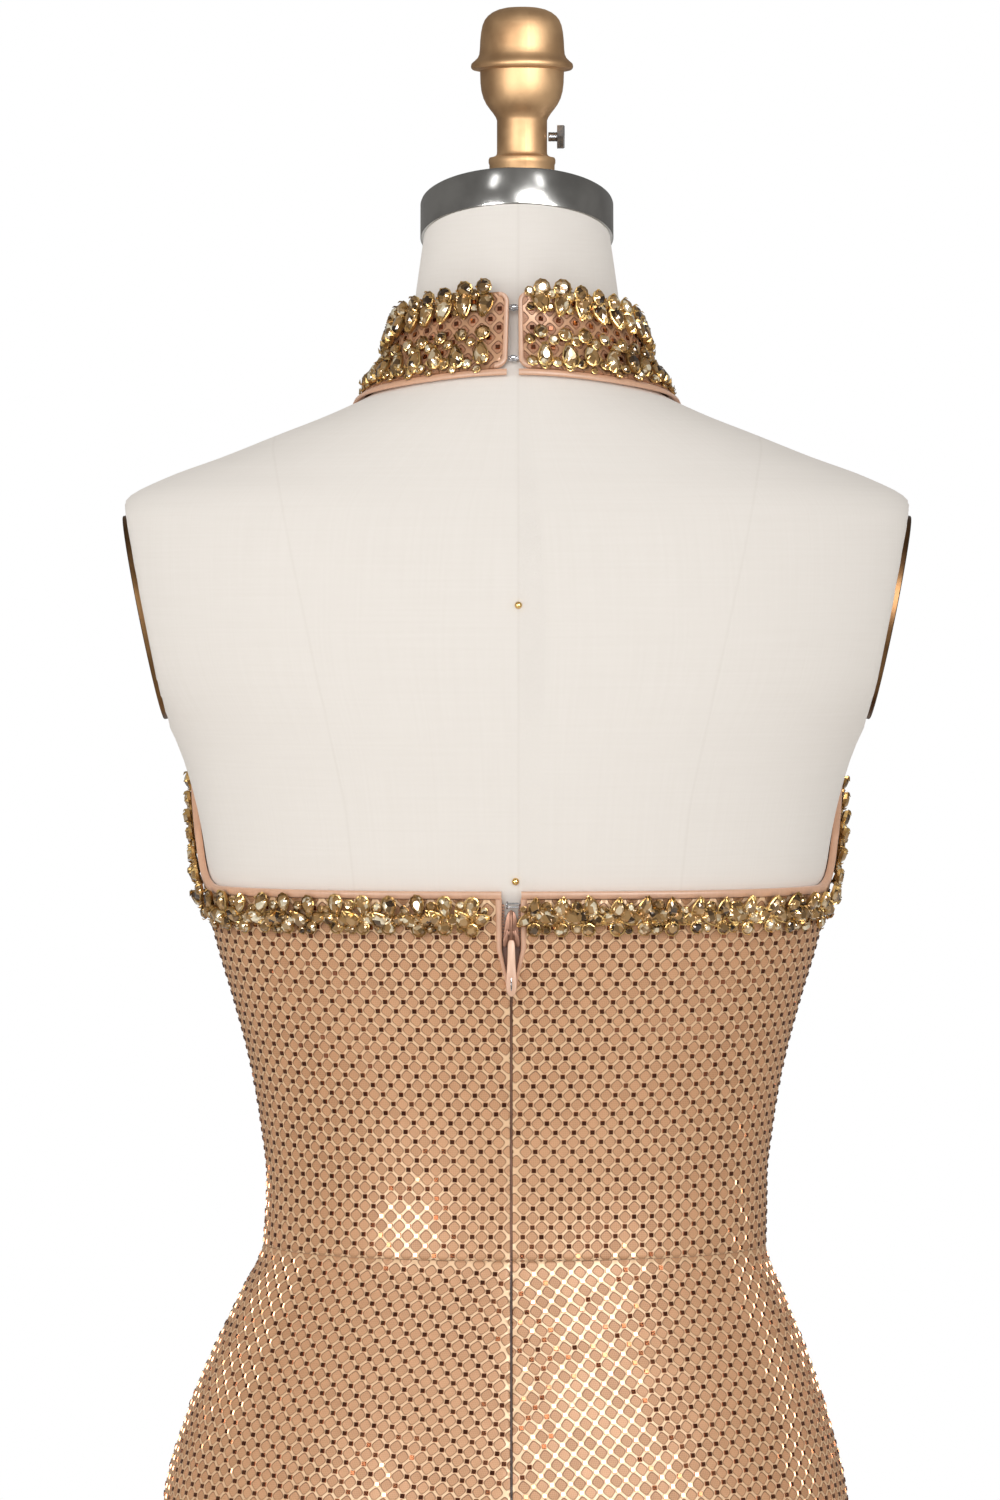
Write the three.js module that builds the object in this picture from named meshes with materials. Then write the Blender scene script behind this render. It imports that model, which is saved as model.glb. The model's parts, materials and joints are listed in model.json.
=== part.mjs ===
// Halter evening gown of enamel mesh on its linen dress form.
// Millimetres, +Z up, origin at the centre of the underside of the base. The front faces -Y.

import * as THREE from 'three';
import { mergeVertices } from 'three/addons/utils/BufferGeometryUtils.js';

// Driving sizes
const WAIST_Z = 1070;
const HEM_DROP = 1058;
const CLOTH = { inner: 2, outer: 3.6 };
const SEAM = 0.3;
const CENTRE_BACK_X = 2.9;
const DEG = Math.PI / 180;

const BASE = { radius: 185, height: 14, bossRadius: 34, bossHeight: 46 };
const POLE_RADIUS = 15;
const FORM_BOTTOM = -262;
const FORM_TOP = 490.5;

// Colours from the photo
const COLOURS = {
  mesh: 0xcfa580,
  satin: 0xe1b496,
  crystal: 0xc9a66b,
  linen: 0xede7df,
  steel: 0x767673,
  gold: 0xcfaa7e,
  brass: 0xc9a35c,
  enamel: 0xd9b095,
  darkSteel: 0x4a4744,
};

const material = (color, roughness, metalness) =>
  new THREE.MeshStandardMaterial({ color, roughness, metalness });

const MATERIALS = {
  mesh: material(COLOURS.mesh, 0.4, 0.5),
  satin: material(COLOURS.satin, 0.5, 0),
  crystal: material(COLOURS.crystal, 0.15, 0.3),
  linen: material(COLOURS.linen, 0.9, 0),
  steel: material(COLOURS.steel, 0.25, 1),
  gold: material(COLOURS.gold, 0.45, 1),
  brass: material(COLOURS.brass, 0.3, 1),
  enamel: material(COLOURS.enamel, 0.3, 0.1),
  darkSteel: material(COLOURS.darkSteel, 0.35, 1),
};

// Turns rows under named columns into objects
const table = (columns, rows) =>
  rows.map((row) => Object.fromEntries(columns.map((name, i) => [name, row[i]])));

// Figure: sections of the form, and of the skirt's inside below it, by height above the waist seam.
// A section leans about its own middle: lean is how steeply it rises towards the back.
// Sway is how far the skirt hangs to one side.
const FIGURE = table(['height', 'half', 'front', 'back', 'power', 'lean', 'sway'], [
  [-1075, 238, 214, 246, 2.0, 0, 5.5],
  [-850, 216, 186, 216, 2.0, 0, 5.5],
  [-600, 195, 156, 182, 2.05, 0, 5.5],
  [-400, 180, 130, 152, 2.1, 0, 5.5],
  [-262, 171, 110, 132, 2.15, 0, 5.5],
  [-185, 168.6, 101, 123, 2.2, 0, 5.5],
  [-127, 164.6, 99, 116, 2.2, 0, 5.5],
  [-88, 154.8, 98, 107, 2.2, 0, 4.8],
  [-59, 144.2, 97, 98, 2.2, 0, 3.6],
  [-29.5, 131.2, 95, 88, 2.2, 0, 2.4],
  [0, 119.8, 93, 80, 2.2, 0, 1],
  [29.5, 119.4, 94, 78, 2.2, 0, 0],
  [59, 122.6, 97, 79, 2.2, 0, 0],
  [88, 127.7, 102, 82, 2.25, 0, 0],
  [118, 135.4, 109, 86, 2.3, 0, 0],
  [147, 143.9, 116, 90, 2.35, 0, 0],
  [176, 150.5, 121, 94, 2.4, 0, 0],
  [206, 155.5, 122, 97, 2.4, 0, 0],
  [236, 163.5, 119, 100, 2.4, 0, 0],
  [255, 172, 115, 101.5, 2.4, 0, 0],
  [275, 184, 109, 102, 2.4, 0, 0],
  [295, 190, 101, 102, 2.4, 0, 0],
  [314, 193, 93, 101, 2.35, 0, 0],
  [334, 195, 85, 98, 2.3, 0, 0],
  [354, 196, 78, 92, 2.2, 0.02, 0],
  [363.5, 191, 75, 88, 2.1, 0.04, 0],
  [373, 173, 71.5, 83, 2.0, 0.06, 0],
  [383, 145, 68, 78, 2.0, 0.08, 0],
  [393, 119, 65, 73, 2.0, 0.1, 0],
  [403, 92, 62, 67, 2.0, 0.13, 0],
  [413, 71, 60, 61.5, 2.0, 0.16, 0],
  [425, 60.5, 57.5, 56, 2.0, 0.19, 0],
  [437, 54.5, 56, 52, 2.0, 0.21, 0],
  [450, 51.3, 55, 49.5, 2.0, 0.23, 0],
  [465, 49.3, 54.5, 48.5, 2.0, 0.256, 0],
  [490.5, 45.6, 53, 47.5, 2.0, 0.29, 0],
]);

// Sections lean about a line this far from the axis, the middle of the neck
const LEAN_LINE_Y = -2.75;

const BUST = { depth: 13, across: 84, width: 55, height: 174, tall: 50 };

// The arm plates sit on a plane that leans outwards towards the shoulder
const ARM_PLANE = { height: 265, across: 172.3, lean: 0.2022 };
const armPlaneX = (height) => ARM_PLANE.across + (height - ARM_PLANE.height) * ARM_PLANE.lean;

// Monotone cubic through the rows of a table
function curveThrough(rows, from, to) {
  const slopes = rows.slice(1).map((row, i) => (row[to] - rows[i][to]) / (row[from] - rows[i][from]));
  const tangents = rows.map((row, i) => {
    if (i === 0) return slopes[0];
    if (i === slopes.length) return slopes[i - 1];
    const [a, b] = [slopes[i - 1], slopes[i]];
    return a * b <= 0 ? 0 : (2 * a * b) / (a + b);
  });
  return (value) => {
    let i = 0;
    while (i < slopes.length - 1 && value > rows[i + 1][from]) i += 1;
    const span = rows[i + 1][from] - rows[i][from];
    const t = (value - rows[i][from]) / span;
    const s = 1 - t;
    return rows[i][to] * (1 + 2 * t) * s * s
      + rows[i + 1][to] * (3 - 2 * t) * t * t
      + span * tangents[i] * t * s * s
      - span * tangents[i + 1] * s * t * t;
  };
}

const figureCurve = Object.fromEntries(
  ['half', 'front', 'back', 'power', 'lean', 'sway'].map((name) => [name, curveThrough(FIGURE, 'height', name)]),
);

const signedPower = (value, exponent) => Math.sign(value) * Math.abs(value) ** exponent;

// Soft flutes in the lower skirt, deepest at the hem
const FLUTES = { count: 9, start: -420, depth: 10.5, second: 0.35, secondCount: 5, phase: 0.5 };
function flute(angle, height) {
  const fall = Math.max(0, (FLUTES.start - height) / (HEM_DROP + FLUTES.start));
  const wave = Math.cos(FLUTES.count * angle + FLUTES.phase)
    + FLUTES.second * Math.cos(FLUTES.secondCount * angle + 2 * FLUTES.phase);
  return FLUTES.depth * fall ** 1.3 * wave;
}

function bustRelief(x, height) {
  const level = Math.exp(-(((height - BUST.height) / BUST.tall) ** 2));
  const sides = Math.exp(-(((x - BUST.across) / BUST.width) ** 2))
    + Math.exp(-(((x + BUST.across) / BUST.width) ** 2));
  return BUST.depth * level * sides;
}

// A point of the figure. The angle is 0 at centre back, 90 degrees at +X, 180 at centre front.
function figurePoint(angle, height) {
  const curve = Object.fromEntries(Object.entries(figureCurve).map(([name, at]) => [name, at(height)]));
  const [sine, cosine] = [Math.sin(angle), Math.cos(angle)];
  const depth = cosine > 0 ? curve.back : curve.front;
  const ripple = flute(angle, height);
  const x = curve.half * signedPower(sine, 2 / curve.power) + ripple * sine + curve.sway;
  let y = depth * signedPower(cosine, 2 / curve.power) + ripple * cosine;
  if (cosine < 0) y -= bustRelief(x, height) * Math.min(1, -2 * cosine);
  return new THREE.Vector3(x, y, WAIST_Z + height + curve.lean * (y - LEAN_LINE_Y));
}

// The figure moved outwards by an offset, square to its surface
function skin(angle, height, offset = 0) {
  const step = 0.01;
  const rise = 1;
  const along = figurePoint(angle + step, height).sub(figurePoint(angle - step, height));
  const up = figurePoint(angle, height + rise).sub(figurePoint(angle, height - rise));
  const normal = along.cross(up).normalize();
  if (normal.x * Math.sin(angle) + normal.y * Math.cos(angle) < 0) normal.negate();
  return figurePoint(angle, height).addScaledVector(normal, offset);
}

// The angle and height whose figure point lies nearest a point beside the surface
function surfacePlace(point, near) {
  let { angle, height } = near;
  const turn = 0.005;
  for (let pass = 0; pass < 8; pass += 1) {
    const foot = figurePoint(angle, height);
    const miss = point.clone().sub(foot);
    const along = figurePoint(angle + turn, height).sub(foot).divideScalar(turn);
    angle += miss.dot(along) / along.lengthSq();
    const up = figurePoint(angle, height + 1).sub(figurePoint(angle, height));
    height += point.clone().sub(figurePoint(angle, height)).dot(up) / up.lengthSq();
  }
  return { angle, height };
}

// The angle at which a section reaches a distance across from its middle, behind the side seam
function angleAcross(x, height) {
  const share = x / figureCurve.half(height);
  return Math.asin(Math.min(1, Math.abs(share) ** (figureCurve.power(height) / 2)) * Math.sign(share));
}

// A closed wall between two grids of points, given as functions of column and row
function wall(columns, rows, outer, inner) {
  const points = [];
  const faces = [];
  const stride = columns + 1;
  const layer = stride * (rows + 1);
  for (const side of [outer, inner]) {
    for (let r = 0; r <= rows; r += 1) {
      for (let c = 0; c <= columns; c += 1) points.push(side(c, r));
    }
  }
  const quad = (a, b, c, d) => faces.push(a, b, c, a, c, d);
  const at = (c, r) => r * stride + c;
  for (let r = 0; r < rows; r += 1) {
    for (let c = 0; c < columns; c += 1) {
      quad(at(c, r), at(c + 1, r), at(c + 1, r + 1), at(c, r + 1));
      quad(layer + at(c, r), layer + at(c, r + 1), layer + at(c + 1, r + 1), layer + at(c + 1, r));
    }
  }
  for (let c = 0; c < columns; c += 1) {
    quad(at(c, 0), layer + at(c, 0), layer + at(c + 1, 0), at(c + 1, 0));
    quad(at(c, rows), at(c + 1, rows), layer + at(c + 1, rows), layer + at(c, rows));
  }
  for (let r = 0; r < rows; r += 1) {
    quad(at(0, r), at(0, r + 1), layer + at(0, r + 1), layer + at(0, r));
    quad(at(columns, r), layer + at(columns, r), layer + at(columns, r + 1), at(columns, r + 1));
  }
  return closed(points, faces);
}

// A closed geometry from points and triangles, turned so that its faces point out
function closed(points, faces) {
  let volume = 0;
  for (let i = 0; i < faces.length; i += 3) {
    const [a, b, c] = [points[faces[i]], points[faces[i + 1]], points[faces[i + 2]]];
    volume += a.dot(b.clone().cross(c));
  }
  if (volume < 0) faces.reverse();
  const geometry = new THREE.BufferGeometry();
  geometry.setAttribute('position', new THREE.Float32BufferAttribute(points.flatMap((p) => p.toArray()), 3));
  geometry.setIndex(faces);
  return mergeVertices(geometry, 1e-3);
}

const group = new THREE.Group();

function add(name, geometry, look) {
  const mesh = new THREE.Mesh(geometry, MATERIALS[look]);
  mesh.name = name;
  group.add(mesh);
  return mesh;
}

const SIDES = [['left', 1], ['right', -1]];
const mix = (a, b, t) => a + (b - a) * t;

// Centre back opening: wide at the top where the slider is, closed below it, a seam below the zip
const OPENING = table(['height', 'halfGap'], [
  [-1075, 0.15],
  [-152, 0.15],
  [-148, 0.4],
  [127, 0.4],
  [148, 4.4],
  [190, 4.4],
]);
const halfGap = (height) => {
  const i = Math.max(1, OPENING.findIndex((row) => row.height > height));
  const [low, high] = [OPENING[i - 1], OPENING[i]];
  return mix(low.halfGap, high.halfGap, (height - low.height) / (high.height - low.height));
};
const openingAngle = (side, height) =>
  angleAcross(halfGap(height) + side * (CENTRE_BACK_X - figureCurve.sway(height)), height);

// Free edge of the gown: level across the back, a round corner, then up the armhole to the collar
const EDGE = { level: 176, corner: 40, turnEnd: 60 * DEG, cornerStart: 38.1 };
const ARMHOLE = table(['height', 'angle'], [
  [202, 90],
  [211, 93.5],
  [222, 98.5],
  [236, 105.5],
  [255, 115.5],
  [285, 134],
  [310, 146],
  [325, 151.5],
  [340, 154.8],
  [355, 156.3],
  [370, 153.7],
  [385, 148],
  [398.5, 139.7],
]);
const armholeAngle = curveThrough(ARMHOLE, 'height', 'angle');
const ARMHOLE_TOP = ARMHOLE[ARMHOLE.length - 1];

function edgeHeight(behindSide) {
  const run = Math.max(0, EDGE.cornerStart - behindSide);
  const arcRun = EDGE.corner * Math.sin(EDGE.turnEnd);
  const onArc = Math.min(run, arcRun);
  const rise = EDGE.corner - Math.sqrt(EDGE.corner ** 2 - onArc ** 2);
  return EDGE.level + rise + (run - onArc) * Math.tan(EDGE.turnEnd);
}

// Stations along the free edge by distance, from centre back to the collar
function freeEdge(side) {
  const places = [];
  const start = openingAngle(side, EDGE.level);
  for (let i = 0; i <= 90; i += 1) {
    const angle = mix(start, 90 * DEG, i / 90);
    const behindSide = figurePoint(angle, EDGE.level + 10).y;
    places.push({ angle, height: edgeHeight(behindSide) });
  }
  for (let i = 1; i <= 90; i += 1) {
    const height = mix(places[90].height, ARMHOLE_TOP.height, i / 90);
    places.push({ angle: armholeAngle(height) * DEG, height });
  }
  const reach = [0];
  for (let i = 1; i < places.length; i += 1) {
    const here = figurePoint(places[i].angle, places[i].height);
    const before = figurePoint(places[i - 1].angle, places[i - 1].height);
    reach.push(reach[i - 1] + here.distanceTo(before));
  }
  const length = reach[reach.length - 1];
  const at = (distance) => {
    let i = 1;
    while (i < reach.length - 1 && reach[i] < distance) i += 1;
    const t = (distance - reach[i - 1]) / (reach[i] - reach[i - 1]);
    return {
      angle: mix(places[i - 1].angle, places[i].angle, t),
      height: mix(places[i - 1].height, places[i].height, t),
    };
  };
  return { length, at, sideSeam: reach[90] };
}

// The place a given width in from the free edge, measured square to it over the cloth.
// The edge's direction is read over a reach to either side.
function insideEdge(edge, distance, width, reach = 3) {
  const place = edge.at(distance);
  if (width === 0) return place;
  const ahead = edge.at(Math.min(edge.length, distance + reach));
  const behind = edge.at(Math.max(0, distance - reach));
  const tangent = figurePoint(ahead.angle, ahead.height)
    .sub(figurePoint(behind.angle, behind.height))
    .normalize();
  const foot = figurePoint(place.angle, place.height);
  const normal = skin(place.angle, place.height, 1).sub(foot);
  const inward = normal.cross(tangent).normalize();
  return surfacePlace(foot.addScaledVector(inward, width), place);
}

// Form body
const FORM_ROWS = FIGURE.map((row) => row.height).filter((height) => height >= FORM_BOTTOM && height <= FORM_TOP);
const FORM_COLUMNS = 36;
const FORM_TUCK = table(['height', 'inset'], [
  [-262, 22],
  [-185, 4],
  [-127, 0],
  [491, 0],
]);
const formInset = curveThrough(FORM_TUCK, 'height', 'inset');

function formPoint(angle, height) {
  const point = figurePoint(angle, height);
  const flatRadius = Math.hypot(point.x, point.y);
  const shrink = 1 - Math.max(0, formInset(height)) / flatRadius;
  point.x *= shrink;
  point.y *= shrink;
  const limit = armPlaneX(height);
  if (height > 230) point.x = Math.max(-limit, Math.min(limit, point.x));
  return point;
}

function formBody() {
  const points = [];
  const faces = [];
  for (const height of FORM_ROWS) {
    for (let c = 0; c < FORM_COLUMNS; c += 1) points.push(formPoint((c / FORM_COLUMNS) * 2 * Math.PI, height));
  }
  const at = (c, r) => r * FORM_COLUMNS + (c % FORM_COLUMNS);
  for (let r = 0; r < FORM_ROWS.length - 1; r += 1) {
    for (let c = 0; c < FORM_COLUMNS; c += 1) {
      faces.push(at(c, r), at(c + 1, r), at(c + 1, r + 1), at(c, r), at(c + 1, r + 1), at(c, r + 1));
    }
  }
  const last = FORM_ROWS.length - 1;
  for (let c = 1; c < FORM_COLUMNS - 1; c += 1) {
    faces.push(at(0, 0), at(c + 1, 0), at(c, 0), at(0, last), at(c, last), at(c + 1, last));
  }
  return closed(points, faces);
}

add('form_body', formBody(), 'linen');

// Arm plates: a linen oval inside a brass rim, on the flat of each armhole
const ARM_PLATE = { height: 306, forward: -5, tall: 51, deep: 37, thick: 2.4, rim: 1.6 };

function armPlateShape(tall, deep) {
  const shape = new THREE.Shape();
  shape.absellipse(0, 0, tall, deep, 0, 2 * Math.PI);
  return shape;
}

function placeOnArm(mesh, side) {
  const leanAngle = Math.atan(ARM_PLANE.lean);
  const outward = new THREE.Vector3(side * Math.cos(leanAngle), 0, -Math.sin(leanAngle));
  const upward = new THREE.Vector3(side * Math.sin(leanAngle), 0, Math.cos(leanAngle));
  const across = outward.clone().cross(upward);
  mesh.matrixAutoUpdate = false;
  const seat = new THREE.Vector3(side * armPlaneX(ARM_PLATE.height), ARM_PLATE.forward, WAIST_Z + ARM_PLATE.height);
  seat.addScaledVector(outward, SEAM);
  mesh.matrix.makeBasis(upward, across, outward).setPosition(seat);
  mesh.matrix.decompose(mesh.position, mesh.quaternion, mesh.scale);
  mesh.matrixAutoUpdate = true;
}

for (const [name, side] of SIDES) {
  const { tall, deep, thick, rim } = ARM_PLATE;
  const plate = armPlateShape(tall - rim - SEAM, deep - rim - SEAM);
  const disc = new THREE.ExtrudeGeometry(plate, { depth: thick, bevelEnabled: false, curveSegments: 10 });
  placeOnArm(add(`arm_plate_${name}`, disc, 'linen'), side);
  const ring = armPlateShape(tall, deep);
  ring.holes.push(armPlateShape(tall - rim, deep - rim));
  const band = new THREE.ExtrudeGeometry(ring, { depth: thick + 0.4, bevelEnabled: false, curveSegments: 10 });
  placeOnArm(add(`arm_rim_${name}`, band, 'brass'), side);
}

// Neck plate, tilted like the top of the neck
const NECK_PLATE = { half: 47.4, deep: 52.2, tall: 19, edge: 1.5 };
const NECK_TILT = Math.atan(FIGURE[FIGURE.length - 1].lean);
{
  const { half, deep, tall, edge } = NECK_PLATE;
  const profile = [
    [0, 0],
    [half - 0.6, 0],
    [half, 0.6],
    [half, tall - edge],
    [half - edge, tall],
    [0, tall],
  ].map(([x, y]) => new THREE.Vector2(x, y));
  const disc = new THREE.LatheGeometry(profile, 48);
  disc.rotateX(Math.PI / 2);
  disc.scale(1, deep / half, 1);
  const plate = add('neck_plate', disc, 'steel');
  plate.rotation.x = NECK_TILT;
  plate.position.set(0, LEAN_LINE_Y, WAIST_Z + FORM_TOP + SEAM);
}

// Finial, cast in one piece, upright on the neck plate
const FINIAL = { x: -2.5, y: -3, bottom: 1572.3, foot: 25 };
const FINIAL_PROFILE = table(['radius', 'height'], [
  [0, 0],
  [16, 0],
  [16, 25],
  [16.4, 26],
  [16.2, 28.6],
  [12.9, 29.6],
  [12.3, 31.4],
  [12.3, 47.3],
  [15.8, 52.4],
  [18.9, 57.4],
  [20.4, 65],
  [20.6, 71.4],
  [24.8, 72.2],
  [25, 74.4],
  [22.2, 77],
  [20.8, 80.2],
  [20.3, 88.5],
  [19.4, 93.4],
  [16.8, 97.6],
  [11.8, 100.8],
  [5.5, 102],
  [0, 102.1],
]);

// Height of the sloping top of the neck plate, and a gap above it, at a distance towards the back
function plateTopZ(y) {
  const slope = Math.tan(NECK_TILT);
  const top = WAIST_Z + FORM_TOP + SEAM + NECK_PLATE.tall / Math.cos(NECK_TILT);
  return top + slope * (y - LEAN_LINE_Y) + SEAM / Math.cos(NECK_TILT);
}

// Its foot is cut to the slope of the neck plate
{
  const profile = FINIAL_PROFILE.map((row) => new THREE.Vector2(row.radius, row.height));
  const finial = new THREE.LatheGeometry(profile, 20);
  finial.rotateX(Math.PI / 2);
  const points = finial.getAttribute('position');
  for (let i = 0; i < points.count; i += 1) {
    if (points.getZ(i) < FINIAL.foot / 2) points.setZ(i, plateTopZ(points.getY(i) + FINIAL.y) - FINIAL.bottom);
  }
  add('finial', finial, 'gold').position.set(FINIAL.x, FINIAL.y, FINIAL.bottom);
}

// Hexagon-headed steel bolt through the stem of the finial, its flats level
const BOLT = { height: 38.9, start: 12.9, shank: 2.4, flats: 11, head: 17.2, end: 20.9 };
{
  const profile = [
    [0, BOLT.start],
    [BOLT.shank, BOLT.start],
    [BOLT.shank, BOLT.head],
    [BOLT.flats / 2, BOLT.head],
    [BOLT.flats / 2, BOLT.end],
    [0, BOLT.end],
  ].map(([x, y]) => new THREE.Vector2(x, y));
  const bolt = new THREE.LatheGeometry(profile, 12);
  const points = bolt.getAttribute('position');
  const sextant = 60 * DEG;
  for (let i = 0; i < points.count; i += 1) {
    const [x, z] = [points.getX(i), points.getZ(i)];
    const turn = Math.atan2(x, z);
    const stretch = Math.hypot(x, z) > BOLT.shank + SEAM ? 1 / Math.cos(turn - sextant * Math.round(turn / sextant)) : 1;
    points.setX(i, x * stretch);
    points.setZ(i, z * stretch);
  }
  const mesh = add('finial_bolt', bolt, 'steel');
  mesh.rotation.z = Math.PI / 2;
  mesh.position.set(FINIAL.x, FINIAL.y, FINIAL.bottom + BOLT.height);
}

// Brass pins at the centre back of the form
const PINS = table(['name', 'x', 'height'], [
  ['upper', -0.4, 311.8],
  ['lower', 0.9, 180.4],
]);
const PIN = { radius: 1.75, proud: 1.7 };
for (const row of PINS) {
  const profile = [[0, 0], [PIN.radius, 0], [PIN.radius, 0.5], [PIN.radius * 0.7, 1.5], [0, PIN.proud]];
  const head = new THREE.LatheGeometry(profile.map(([x, y]) => new THREE.Vector2(x, y)), 12);
  const angle = angleAcross(row.x, row.height);
  const seat = skin(angle, row.height, SEAM);
  add(`form_pin_${row.name}`, head, 'brass').position.copy(seat);
}

// Pole, foot boss and base
{
  const bossTop = BASE.height + BASE.bossHeight;
  const profile = [
    [0, 0],
    [BASE.radius - 2, 0],
    [BASE.radius, 2],
    [BASE.radius, BASE.height - 4],
    [BASE.radius - 5, BASE.height],
    [BASE.bossRadius + 8, BASE.height + 3],
    [BASE.bossRadius, BASE.height + 12],
    [BASE.bossRadius - 8, bossTop],
    [0, bossTop],
  ].map(([x, y]) => new THREE.Vector2(x, y));
  const foot = new THREE.LatheGeometry(profile, 40);
  foot.rotateX(Math.PI / 2);
  add('stand_base', foot, 'darkSteel');
  const poleLength = WAIST_Z + FORM_BOTTOM - bossTop - 2 * SEAM;
  const pole = new THREE.CylinderGeometry(POLE_RADIUS, POLE_RADIUS, poleLength, 20);
  pole.rotateX(Math.PI / 2);
  add('stand_pole', pole, 'steel').position.z = bossTop + SEAM + poleLength / 2;
}

// Skirt panels
const SKIRT_ROWS = [-1058, -985, -905, -815, -715, -605, -490, -370, -262, -185, -127, -88, -59, -29.5, -SEAM];
const FRONT_COLUMNS = 28;
const BACK_COLUMNS = 14;

function skirtPanel(columns, startAngle, endAngle, side) {
  const place = (offset) => (c, r) => {
    const height = SKIRT_ROWS[r];
    const angle = mix(startAngle(height), endAngle(height), c / columns);
    return skin(side * angle, height, offset);
  };
  return wall(columns, SKIRT_ROWS.length - 1, place(CLOTH.outer), place(CLOTH.inner));
}

const seamAngle = (angle, gap) => (height) => angle + gap / 2 / figureCurve.half(Math.max(height, -1058));
add('skirt_front', skirtPanel(FRONT_COLUMNS, seamAngle(90 * DEG, SEAM), seamAngle(270 * DEG, -SEAM), 1), 'mesh');
for (const [name, side] of SIDES) {
  const start = (height) => openingAngle(side, height);
  add(`skirt_back_${name}`, skirtPanel(BACK_COLUMNS, start, seamAngle(90 * DEG, -SEAM), side), 'mesh');
}

// Lower line of the collar, as the height of its section at each angle
function collarFoot(angle) {
  const behind = Math.cos(angle);
  return 411 + 3.4 * behind - 10 * behind ** 2 + 9.6 * behind ** 3;
}

// Bodice panels. The hem of the bodice lies a little proud of the skirt.
const BINDING = { width: 3.5, outer: 4 };
const PANEL_EDGE = BINDING.width + SEAM;
const HEM_PROUD = 1.1;
const BODICE_RISES = [0, 0.05, 0.16, 0.32, 0.48, 0.64, 0.8, 0.91, 1];
const BACK_STEPS = 14;
const ARM_STEPS = 13;

const bodiceOuter = (v) => CLOTH.outer + HEM_PROUD * Math.max(0, 1 - v / 0.16);

// The distance along the free edge at which the line where the panels end crosses the side seam
function seamCrossing(edge) {
  let [low, high] = [edge.sideSeam - 4 * PANEL_EDGE, edge.sideSeam + PANEL_EDGE];
  for (let pass = 0; pass < 20; pass += 1) {
    const middle = (low + high) / 2;
    if (insideEdge(edge, middle, PANEL_EDGE).angle < 90 * DEG) low = middle;
    else high = middle;
  }
  return low;
}

// The distance along the free edge at which a line inside it reaches the foot of the collar
function collarCrossing(edge, width) {
  let [low, high] = [edge.length - 40, edge.length];
  for (let pass = 0; pass < 20; pass += 1) {
    const middle = (low + high) / 2;
    const place = insideEdge(edge, middle, width);
    if (place.height < collarFoot(place.angle) - 2 * SEAM) low = middle;
    else high = middle;
  }
  return low;
}

// Distances along the free edge that its panels and its binding share, closer near the side seam
function edgeStations(side) {
  const edge = freeEdge(side);
  const seam = seamCrossing(edge);
  const back = (step) => seam * (1 - (1 - step / BACK_STEPS) ** 1.25);
  const end = Math.min(collarCrossing(edge, 0), collarCrossing(edge, PANEL_EDGE));
  const arm = (step) => mix(seam, end, step / ARM_STEPS);
  return { edge, back, arm };
}

function bodiceBack(side) {
  const { edge, back } = edgeStations(side);
  const sideAngle = (height) => 90 * DEG - SEAM / 2 / figureCurve.half(height);
  const tops = Array.from({ length: BACK_STEPS + 1 }, (_, c) => {
    const place = insideEdge(edge, back(c), PANEL_EDGE);
    if (c === 0) place.angle = openingAngle(side, place.height);
    if (c === BACK_STEPS) place.angle = sideAngle(place.height);
    return place;
  });
  const place = (thick) => (c, r) => {
    const t = 1 - (1 - c / BACK_STEPS) ** 1.1;
    const v = BODICE_RISES[r];
    const height = tops[c].height * v;
    const foot = mix(openingAngle(side, height), sideAngle(height), t);
    const angle = c === 0 ? openingAngle(side, height) : mix(foot, tops[c].angle, v * v);
    return skin(side * angle, height, thick ? bodiceOuter(v) : CLOTH.inner);
  };
  return wall(BACK_STEPS, BODICE_RISES.length - 1, place(true), place(false));
}

function bodiceFront() {
  const { edge, arm } = edgeStations(1);
  const columns = 26;
  const sideRises = [0, 0.06, 0.2, 0.34, 0.48, 0.62, 0.75, 0.88, 1];
  const sideTop = insideEdge(edge, arm(0), PANEL_EDGE).height;
  const boundary = sideRises.map((v) => {
    const height = sideTop * v;
    return { angle: 90 * DEG + SEAM / 2 / figureCurve.half(height), height };
  });
  for (let step = 1; step <= ARM_STEPS; step += 1) boundary.push(insideEdge(edge, arm(step), PANEL_EDGE));
  const corner = boundary[boundary.length - 1];
  const cornerDrop = collarFoot(corner.angle) - SEAM - corner.height;
  const centreTop = collarFoot(Math.PI) - SEAM;
  const rows = boundary.length - 1;
  const place = (thick) => (c, r) => {
    const across = (2 * c) / columns - 1;
    const t = Math.abs(across);
    const { angle: edgeAngle, height: edgeLevel } = boundary[r];
    const angle = mix(Math.PI, edgeAngle, t);
    const centreLevel = (edgeLevel / corner.height) * centreTop;
    const topLevel = collarFoot(angle) - SEAM - cornerDrop * t ** 6;
    const height = r === rows ? topLevel : mix(centreLevel, edgeLevel, t * t);
    const offset = thick ? bodiceOuter(height / sideTop) : CLOTH.inner;
    return skin(angle * (Math.sign(across) || 1), height, offset);
  };
  return wall(columns, rows, place(true), place(false));
}

add('bodice_front', bodiceFront(), 'mesh');
for (const [name, side] of SIDES) add(`bodice_back_${name}`, bodiceBack(side), 'mesh');

// Satin binding along the free edge
for (const [name, side] of SIDES) {
  const { edge, back, arm } = edgeStations(side);
  const columns = BACK_STEPS + ARM_STEPS;
  const place = (offset) => (c, r) => {
    const distance = c <= BACK_STEPS ? back(c) : arm(c - BACK_STEPS);
    const { angle, height } = insideEdge(edge, distance, r === 0 ? BINDING.width : 0);
    return skin(side * angle, height, offset);
  };
  add(`edge_binding_${name}`, wall(columns, 1, place(BINDING.outer), place(CLOTH.inner)), 'satin');
}

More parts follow.
